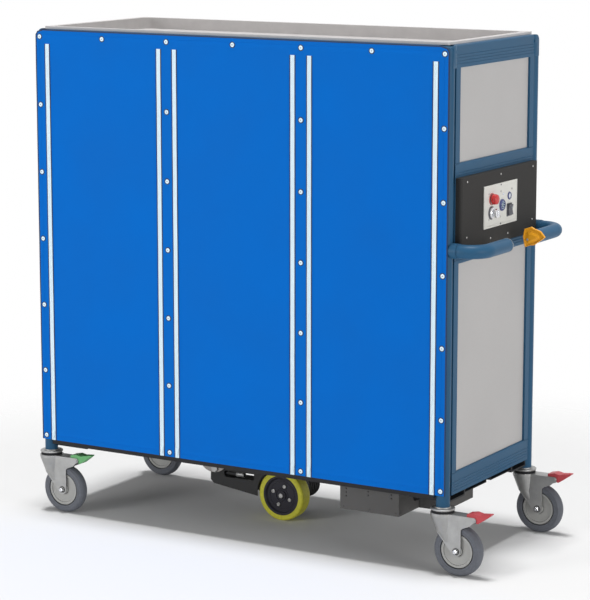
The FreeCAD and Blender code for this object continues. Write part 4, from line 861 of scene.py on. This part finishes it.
class MEALCART_OT_drive(bpy.types.Operator):
    """Make the drive unit's fittings: bolts, rings, sleeve, spring, motor lid and what the boxes carry"""
    bl_idname = "mealcart.drive"
    bl_label = "Drive fittings"

    def execute(self, context):
        self.wheel(middle_of("drive_tyre"))
        self.arm()
        self.spring()
        self.motor()
        self.boxes()
        return {"FINISHED"}

    def wheel(self, centre):
        """Four bright bolts round a hexagon nut, with two raised rings on the dark hub."""
        bolts = bmesh.new()
        bolt = [(0, 18.2), (6.4, 18.2), (6.4, 22.4), (5.4, 23.2), (3.2, 23.2), (3.0, 22.2), (0, 22.2)]
        for offset in circle(4, 33, ALONG, UP, 70):
            knob(bolts, bolt, centre + offset, OUT, 24)
        knob(bolts, [(0, 22.0), (8.6, 22.0), (8.6, 26.4), (7.6, 27.2), (0, 27.2)], centre, OUT, 6)
        to_piece("drive_wheel_bolts", bolts, "drive_wheel", "screw_steel", 30)
        rings = [[(20, 17.9), (20.6, 19.8), (23.4, 19.8), (24, 17.9)],
                 [(44.5, 17.9), (45, 19.2), (48, 19.2), (48.5, 17.9)]]
        turned("drive_hub_rings", "drive_wheel", "drive_hub", rings, [(centre, OUT)])

    def arm(self):
        """The bright sleeve of the strut that shows in the arm's slot, and a nut on each end of the pivot."""
        low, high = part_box("drive_arm")
        end = (low.x + 93 * MM, middle_of("drive_tyre").y - 14 * MM, high.z - 27 * MM)
        tube = [(6.1, 0), (8.2, 0), (9.0, 1), (9.0, 29), (8.2, 30), (6.1, 30)]
        turned("strut_sleeve", "drive_swing", "castor_zinc", [tube], [(end, ALONG)], 32)
        nut = [(0, -2.6), (12.5, -2.6), (12.5, 1.6), (11.4, 2.4), (0, 2.4)]
        spots = [((low.x + 21 * MM, corner.y, high.z - 12.3 * MM), axis)
                 for corner, axis in zip(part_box("drive_bracket"), (OUT, -OUT))]
        turned("pivot_nuts", "cart", "screw_steel", [nut], spots, 6, 30)

    def spring(self):
        """The coil spring between the bracket and the arm."""
        low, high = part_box("drive_spring")
        wire, turns, steps, sides = 3 * MM, 4, 36, 14
        radius = (high.x - low.x) / 2 - wire
        middle = (low + high) / 2
        foot, head = Vector((middle.x, middle.y, low.z + wire)), Vector((middle.x, middle.y, high.z - wire))
        rise = (head.z - foot.z) / (math.tau * turns * radius)
        bm, rows = bmesh.new(), []
        for number in range(turns * steps + 1):
            turn = math.tau * number / steps
            out = Vector((math.cos(turn), math.sin(turn), 0))
            run = Vector((-math.sin(turn), math.cos(turn), rise)).normalized()
            up = run.cross(out)
            centre = foot.lerp(head, number / (turns * steps)) + out * radius
            rows.append([bm.verts.new(centre + (out * math.cos(angle) + up * math.sin(angle)) * wire)
                         for angle in (math.tau * k / sides for k in range(sides))])
        sleeve(bm, rows)
        coil = to_piece("drive_coil", bm, None, "spring_steel", 60)
        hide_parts("drive_spring")
        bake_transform(coil)

    def motor(self):
        """A lid with four screws on the end of the motor."""
        centre = middle_of("drive_tyre")
        end = Vector((centre.x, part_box("drive_motor")[1].y, centre.z + 4 * MM))
        lid = [(0, 0.05), (37, 0.05), (37, 3), (35.5, 4.2), (14, 4.2), (13, 3.2), (0, 3.2)]
        screw = [(0, 4.1), (3.4, 4.1), (3.4, 5.6), (2.6, 6.4), (0, 6.4)]
        spots = [(end + offset, -OUT) for offset in circle(4, 28, ALONG, UP, 45)]
        turned("motor_lid", "drive_swing", "drive_dark", [lid], [(end, -OUT)])
        turned("motor_lid_screws", "drive_swing", "screw_steel", [screw], spots, 16, 30)

    def boxes(self):
        """Screws along the boxes' lids, a strip that closes the corner between them and a cable gland."""
        battery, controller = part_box("battery_box"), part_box("controller_box")
        head, spots = [(0, 0), (3, 0), (3, 1), (2, 1.8), (0, 1.8)], []
        for low, high in (battery, controller):
            level = low.z + 9 * MM
            spots += [((x, low.y, level), OUT)
                      for x in (low.x + 12 * MM, (low.x + high.x) / 2, high.x - 14 * MM)]
            spots += [((high.x - 2.1 * MM, y, level), ALONG) for y in (low.y + 14 * MM, high.y - 60 * MM)]
        turned("box_screws", "cart", "screw_steel", [head], spots, 20, 30, "box_grey")
        strip = bmesh.new()
        block(strip, (battery[1].x + 2 * MM, controller[0].y - 0.9 * MM, (battery[0].z + battery[1].z) / 2),
              ALONG * 7 * MM, OUT * -0.8 * MM, UP * (battery[1].z - battery[0].z) / 2, 0.4 * MM)
        to_piece("box_corner_strip", strip, "cart", "box_grey")
        gland = [(0, -2.1), (11, -2.1), (11, 1.5), (9.6, 2.4), (8, 2.6), (8, 9), (6.4, 10.6), (0, 10.6)]
        spot = (battery[1].x, controller[0].y - 27 * MM, battery[1].z - 50 * MM)
        turned("cable_gland", "cart", "castor_seal", [gland], [(spot, ALONG)], 24, 30)


# ---------------------------------------------------------------- control end
def handle_axis():
    """A point on the line that both handles' grips follow, at Y 0."""
    low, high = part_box("handles")
    return Vector((high.x - TUBE_RADIUS, 0, (low.z + high.z) / 2))


class MEALCART_OT_controls(bpy.types.Operator):
    """Make what the switch plate carries, the handle rims, whose brightness is a painted highlight, the
    corner plates and the lever
    """
    bl_idname = "mealcart.controls"
    bl_label = "Control fittings"

    def execute(self, context):
        plate_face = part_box("switch_plate")[1].x - 1.5 * MM
        self.stop_button(plate_face)
        self.key(plate_face)
        self.socket(plate_face)
        self.rocker(plate_face)
        self.lamp(plate_face)
        self.plate_screws(plate_face)
        self.handles()
        self.corner_plates()
        self.lever()
        return {"FINISHED"}

    def on_face(self, node, face):
        middle = middle_of(node)
        return Vector((face, middle.y, middle.z))

    def stop_button(self, face):
        """A thin collar on the plate and a domed crown on the button."""
        place = self.on_face("estop_button", face)
        top = self.on_face("estop_button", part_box("estop_button")[1].x)
        collar = [(16.8, 0), (18.2, 0), (18.2, 1.4), (17.6, 2.2), (16.8, 2.2)]
        crown = [(0, -0.5), (14.2, -3.4), (15.4, -2.6), (14.6, -0.6), (12, 1.2), (8, 2.4), (3.4, 2.9),
                 (0, 2.6)]
        turned("stop_collar", "cart", "estop_red", [collar], [(place, ALONG)])
        turned("stop_crown", "estop", "estop_red", [crown], [(top, ALONG)])

    def key(self, face):
        """A dark bezel round the key switch, its dark tone painted shade at the knob's base, a milled edge on
        its knob and a turned cap with a key slot.
        """
        place = self.on_face("key_switch", face)
        # painted shade: a dark ring at the knob's base
        bezel = [(17.6, 0), (20.6, 0), (20.6, 1.4), (19.6, 2.4), (17.6, 2.4)]
        turned("key_shade_bezel", "cart", "switch_grey", [bezel], [(place, ALONG)])
        milling, cap = bmesh.new(), bmesh.new()
        top = self.on_face("key_switch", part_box("key_switch")[1].x - 0.05 * MM)
        disc = [(0, 0), (13.8, 0), (14.6, 1.2), (14.6, 5.6), (13.2, 7.2), (9.4, 7.2), (8.6, 6.2), (0, 6.2)]
        knob(cap, disc, top, ALONG, 48)
        block(cap, top + ALONG * 6.8 * MM, ALONG * 1.1 * MM, OUT * -1.3 * MM, UP * 6.5 * MM, 0.5 * MM)
        to_piece("key_cap", cap, "key", "key_silver", 30)
        for offset in circle(24, 17, -OUT, UP):
            out = offset.normalized()
            block(milling, place + ALONG * 4 * MM + offset, ALONG * 2.2 * MM, out * 0.5 * MM,
                  ALONG.cross(out) * 0.7 * MM, 0.2 * MM, 1)
        to_piece("key_milling", milling, "key", "key_silver")

    def socket(self, face):
        """Bright pins in two circles and a ring between them, in the charging socket."""
        place = self.on_face("charge_socket", face)
        pin = [(0, 1.9), (1.5, 1.9), (1.5, 4.4), (0.8, 5.2), (0, 5.2)]
        rings = [[(7.2, 1.9), (7.2, 4.0), (8.2, 4.0), (8.2, 1.9)],
                 [(14.9, 5.0), (15.3, 5.9), (17.0, 3.9), (17.2, 3.6)]]
        spots = [(place + offset, ALONG) for offset in circle(5, 4.6, -OUT, UP) + circle(9, 11.2, -OUT, UP)]
        turned("socket_pins", "cart", "key_silver", [pin], spots, 12, look="stud_white")
        turned("socket_rings", "cart", "socket_blue", rings, [(place, ALONG)])

    def rocker(self, face):
        """A raised frame round the rocker, grip ridges on both halves and a small white ring that is a
        painted highlight.
        """
        place = self.on_face("mode_switch", face)
        frame_bars, ridges = bmesh.new(), bmesh.new()
        half_y, half_z, bar = 15.2 * MM, 18.4 * MM, 1.4 * MM
        for side in (-1, 1):
            block(frame_bars, place + Vector((1.2 * MM, side * half_y, 0)), ALONG * 1.2 * MM, OUT * -bar,
                  UP * (half_z + bar), 0.5 * MM)
            block(frame_bars, place + Vector((1.2 * MM, 0, side * half_z)), ALONG * 1.2 * MM,
                  OUT * -(half_y + bar), UP * bar, 0.5 * MM)
            for step in (4.5, 8.0, 11.5):
                rise = 6 + 3 * step / 16
                block(ridges, place + Vector((rise, 0, side * step)) * MM, ALONG * 0.7 * MM,
                      OUT * -9.5 * MM, UP * 0.7 * MM, 0.3 * MM)
        to_piece("rocker_frame", frame_bars, "cart", "switch_grey")
        to_piece("rocker_ridges", ridges, "mode", "switch_grey", look="castor_tyre")
        # painted highlight: a small white ring on the rocker's upper half
        lens = [(2.4, 5.0), (2.6, 7.4), (3.8, 7.4), (4.0, 5.0)]
        spot = place + Vector((0, 7.6, 9.5)) * MM
        turned("rocker_highlight_ring", "mode", "switch_grey", [lens], [(spot, ALONG)], 24, look="stud_white")

    def corner_plates(self):
        """A rounded plate that closes each upper corner of both ends, between the top rail and the post."""
        low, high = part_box("corner_posts")
        rail_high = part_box("end_frame_right")[1]
        step = high.x - rail_high.x
        inner, edge, radius, foot = rail_high.y - 1.5 * MM, high.y - 14.4 * MM, 20 * MM, high.z - 68 * MM
        turns = [math.radians(10 * turn) for turn in range(10)]
        outline = [(edge - radius * (1 - math.sin(turn)), high.z - radius * (1 - math.cos(turn)))
                   for turn in turns]
        outline += [(edge, foot), (inner + 12 * MM, foot), (inner, foot), (inner, high.z)]
        middle = ((inner + edge) / 2, (foot + high.z) / 2)
        bm = bmesh.new()
        for end, outer in ((-1, low.x), (1, high.x)):
            for side in (-1, 1):
                rows = []
                for depth, share in ((6 * MM, 1.0), (-0.1 * MM, 1.0), (-0.4 * MM, 0.97)):
                    rows.append([])
                    for y, z in outline:
                        y, z = (middle[k] + (value - middle[k]) * share for k, value in enumerate((y, z)))
                        sunk = depth + step * max(0, 1 - (y - inner) / (18 * MM))
                        rows[-1].append(bm.verts.new((outer - end * sunk, side * y, z)))
                sleeve(bm, rows)
        to_piece("corner_plates", bm, "cart", "frame_paint")

    def plate_screws(self, face):
        """A dark screw at the middle of the plate's head and foot."""
        low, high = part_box("switch_plate")
        screw = [(0, 1.4), (2.6, 1.4), (2.6, 2.2), (1.8, 2.9), (0, 2.9)]
        spots = [((face, (low.y + high.y) / 2, z), ALONG) for z in (low.z + 5 * MM, high.z - 5 * MM)]
        turned("plate_edge_screws", "cart", "switch_grey", [screw], spots, 20)

    def lamp(self, face):
        """An eight-sided bezel round the ring lamp."""
        low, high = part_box("status_lamps")
        bezel = [(8.4, 2.8), (12.4, 0), (12.4, 1.8), (11.4, 3.4), (8.4, 3.4)]
        spot = (face, high.y - 9 * MM, low.z + 9 * MM)
        turned("lamp_bezel", "cart", "socket_blue", [bezel], [(spot, ALONG)], 8, 20)

    def handles(self):
        """A bright metal rim round the front handle's plugged end, a painted highlight on its edge, and a
        bead at each handle's root.
        """
        axis = handle_axis()
        # painted highlight: the bright rims stand in for the light on the plugged end's edge
        rims = [[(21.0, 0.2), (21.7, 0.2), (21.7, 1.6), (21.0, 1.6)],
                [(14.0, 3.0), (14.5, 3.7), (16.0, 3.7), (16.5, 3.0)]]
        turned("handle_highlight_rim", "cart", "screw_steel", rims, [((axis.x, FRONT_HANDLE_END, axis.z), -OUT)])
        bead = [(21.1, 0), (22.0, 0.4), (22.3, 1.4), (22.0, 2.4), (21.1, 2.8)]
        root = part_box("control_cover")[0].x + 26.5 * MM
        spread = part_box("corner_posts")[1].y - TUBE_RADIUS
        spots = [((root, side * spread, axis.z), ALONG) for side in (-1, 1)]
        turned("handle_beads", "cart", "frame_paint", [bead], spots)

    def lever(self):
        """A thin faceted cap on the end of the handle, with a raised rim, a screw in its face, a collar."""
        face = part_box("throttle_lever")[0].y
        axis = handle_axis() + Vector((0, face, 0))
        # the outline and its peak are millimetres along X and Z from the handle's axis
        outline = ((-18.2, -29.3), (-25.0, 1.3), (-20.1, 27.0), (2.6, 35.0), (13.0, 29.5), (34.0, 23.0),
                   (48.9, 5.6), (42.2, -0.7), (20.7, -15.3))
        peak = (6.0, 3.0)
        # each layer: its share of the outline, and its depth behind the face in millimetres
        layers = ((0.94, 10.0), (1.0, 7.5), (1.0, 0.8), (0.965, 0.0), (0.90, 0.0), (0.86, 2.0), (0.62, 1.6),
                  (0.5, -0.6), (0.3, -2.2))

        def spot(point, share, depth):
            x, z = (middle + (value - middle) * share for middle, value in zip(peak, point))
            return axis + Vector((x, depth, z)) * MM

        cap = bmesh.new()
        sleeve(cap, [[cap.verts.new(spot(point, share, depth)) for point in outline]
                     for share, depth in layers])
        lever = to_piece("lever_cap", cap, "lever", "lever_orange", 12)
        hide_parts("throttle_lever")
        screw = [(0, 2.0), (3.6, 2.0), (3.6, 4.4), (2.6, 5.2), (0, 5.2)]
        seat = axis + Vector((-9, 3.4, -5)) * MM
        turned("lever_screw", "lever", "screw_steel", [screw], [(seat, OUT)], 20, 30)
        collar = [(21.3, 0), (24.0, 0), (24.0, 5), (23.0, 6), (21.3, 6)]
        turned("lever_collar", "lever", "lever_orange", [collar], [(axis - OUT * 9.9 * MM, -OUT)])


# ---------------------------------------------------------------- finishes on the solid parts
SOFT_EDGES = {  # millimetres
    "end_frame_right": 0.8, "end_frame_left": 0.8, "top_rails": 0.8, "bottom_rails": 0.8, "top_tray": 1.6,
    "end_panels_right": 0.6, "end_panels_left": 0.6, "back_panels": 0.6, "cross_members": 0.8,
    "mullions": 0.6, "control_cover": 1.2, "switch_plate": 0.5, "battery_box": 1.2, "controller_box": 1.2,
    "drive_bracket": 0.8, "mode_switch": 0.8,
}


class MEALCART_OT_finishes(bpy.types.Operator):
    """Make every finish and put each on the solid parts that have it"""
    bl_idname = "mealcart.finishes"
    bl_label = "Finishes"

    def execute(self, context):
        scene = context.scene
        for slot_name, material in make_finishes(scene.cart_colours, scene.cart_sizes).items():
            scene["finish_" + slot_name] = material.name
        for part in frame["record"]["subparts"]:
            paint(NODES[part["node"]], part["material_slot"])
        for node, width in SOFT_EDGES.items():
            self.soften(NODES[node], width * MM)
        return {"FINISHED"}

    def soften(self, part, width):
        """Rounds a solid part's folded and moulded edges with a bevel modifier."""
        bevel = part.modifiers.new("soft_edges", "BEVEL")
        bevel.width = width
        bevel.segments = 2
        bevel.limit_method = "ANGLE"
        bevel.angle_limit = math.radians(40)
        bevel.harden_normals = True


# ---------------------------------------------------------------- stage
OVERHEAD_STRENGTH = 2.7
OVERHEAD_ANGLE = 11  # degrees across, which sets how soft the shadow's edge is
# each fill light: its name, place, size across and power
FILL_LIGHTS = (("front_left", (-3.4, -6.6, 1.7), 3.0, 190), ("right", (7.4, -1.9, 1.7), 3.0, 180))
FILL_TARGET = Vector((0, 0, 0.9))
FLOOR_TONE = "#e2e2e2"
FLOOR_FADE = (1.2, 2.4)  # metres from the cart's middle
SURROUND_LEVEL = 0.25
CAMERA_PLACE = (3.91825, -6.6545, 2.1152)
CAMERA_YAW, CAMERA_PITCH = 30.652, 10.105
CAMERA_LENS, CAMERA_SENSOR = 145.66, 36


def seen_directly(tree):
    """One for rays from the camera, also through glass or off a shiny face, and zero for all other rays."""
    seen = add(tree, "ShaderNodeLightPath").outputs
    direct = seen["Is Camera Ray"]
    for kind in ("Is Transmission Ray", "Is Glossy Ray"):
        direct = add(tree, "ShaderNodeMath", {0: direct, 1: seen[kind]}, operation="MAXIMUM").outputs[0]
    return direct


class MEALCART_OT_stage(bpy.types.Operator):
    """Make the floor, the soft studio light and the camera at the photographed angle"""
    bl_idname = "mealcart.stage"
    bl_label = "Stage"

    def execute(self, context):
        self.floor(context)
        self.lights(context)
        self.world(context)
        self.camera(context)
        context.scene.view_settings.view_transform = "Standard"
        return {"FINISHED"}

    def floor(self, context):
        """A matt pale floor that fades into the white surround some way from the cart.

        Only what is seen fades: the light that the far floor throws back stays.
        """
        bm = bmesh.new()
        revolve(bm, [(0, 0), (3, 0), (9, 0), (90, 0)], (0, 0, -0.2 * MM), UP, 64)
        mesh = bpy.data.meshes.new("floor")
        bm.to_mesh(mesh)
        bm.free()
        floor = bpy.data.objects.new("floor", mesh)
        context.scene.collection.objects.link(floor)
        material, tree, shader = start("pale_floor", 0.9)
        shader.inputs["Specular IOR Level"].default_value = 0.0
        shader.inputs["Base Color"].default_value = [*srgb(FLOOR_TONE), 1]
        place = add(tree, "ShaderNodeTexCoord").outputs["Object"]
        far = add(tree, "ShaderNodeVectorMath", {0: place}, operation="LENGTH").outputs["Value"]
        solid = ranged(tree, far, 1.0, 0.0, *FLOOR_FADE, interpolation_type="SMOOTHSTEP")
        unseen = add(tree, "ShaderNodeMath", {0: 1.0, 1: seen_directly(tree)}, operation="SUBTRACT")
        shown = add(tree, "ShaderNodeMath", {0: solid, 1: unseen.outputs[0]}, operation="MAXIMUM")
        tree.links.new(shown.outputs[0], shader.inputs["Alpha"])
        mesh.materials.append(material)

    def lights(self, context):
        """A broad soft light straight overhead and a low softbox before each side that shows."""
        overhead = bpy.data.lights.new("overhead", "SUN")
        overhead.energy = OVERHEAD_STRENGTH
        overhead.angle = math.radians(OVERHEAD_ANGLE)
        context.scene.collection.objects.link(bpy.data.objects.new("overhead", overhead))
        for name, place, size, power in FILL_LIGHTS:
            light = bpy.data.lights.new(name, "AREA")
            light.shape = "DISK"
            light.size = size
            light.energy = power
            holder = bpy.data.objects.new(name, light)
            holder.location = place
            holder.rotation_mode = "QUATERNION"
            holder.rotation_quaternion = (FILL_TARGET - Vector(place)).to_track_quat("-Z", "Y")
            context.scene.collection.objects.link(holder)

    def world(self, context):
        """An even pale surround, which the camera sees as white."""
        world = bpy.data.worlds.new("surround")
        world.use_nodes = True
        tree = world.node_tree
        strength = ranged(tree, seen_directly(tree), SURROUND_LEVEL, 1.0)
        surround = tree.nodes["Background"]
        surround.inputs["Color"].default_value = (1, 1, 1, 1)
        tree.links.new(strength, surround.inputs["Strength"])
        context.scene.world = world

    def camera(self, context):
        camera = bpy.data.cameras.new("camera")
        camera.sensor_width = CAMERA_SENSOR
        camera.lens = CAMERA_LENS
        camera.clip_end = 200
        holder = bpy.data.objects.new("camera", camera)
        holder.location = CAMERA_PLACE
        yaw, pitch = math.radians(CAMERA_YAW), math.radians(CAMERA_PITCH)
        ahead = Vector((-math.sin(yaw) * math.cos(pitch), math.cos(yaw) * math.cos(pitch), -math.sin(pitch)))
        holder.rotation_mode = "QUATERNION"
        holder.rotation_quaternion = ahead.to_track_quat("-Z", "Y")
        context.scene.collection.objects.link(holder)
        context.scene.camera = holder


# ---------------------------------------------------------------- panel and registration
STEPS = (MEALCART_OT_finishes, MEALCART_OT_front_cover, MEALCART_OT_doors, MEALCART_OT_zips,
         MEALCART_OT_studs, MEALCART_OT_castors, MEALCART_OT_drive, MEALCART_OT_controls, MEALCART_OT_stage)


class MEALCART_PT_panel(bpy.types.Panel):
    """Lists the cart's sizes, colours and the steps that build it"""
    bl_idname = "MEALCART_PT_panel"
    bl_label = "Meal Cart"
    bl_space_type = "VIEW_3D"
    bl_region_type = "UI"
    bl_category = "Meal Cart"

    def draw(self, context):
        layout = self.layout
        for group in (context.scene.cart_sizes, context.scene.cart_colours):
            box = layout.box()
            for name in group.__annotations__:
                box.prop(group, name)
        for step in STEPS:
            layout.operator(step.bl_idname)


CLASSES = (CartColours, CartSizes, *STEPS, MEALCART_PT_panel)


def register():
    for kind in CLASSES:
        bpy.utils.register_class(kind)
    bpy.types.Scene.cart_colours = bpy.props.PointerProperty(type=CartColours)
    bpy.types.Scene.cart_sizes = bpy.props.PointerProperty(type=CartSizes)


def unregister():
    del bpy.types.Scene.cart_sizes
    del bpy.types.Scene.cart_colours
    for kind in reversed(CLASSES):
        bpy.utils.unregister_class(kind)


def main():
    register()
    for step in STEPS:
        group, _, name = step.bl_idname.partition(".")
        getattr(getattr(bpy.ops, group), name)()
    bpy.context.view_layer.update()


if __name__ == "__main__":
    main()
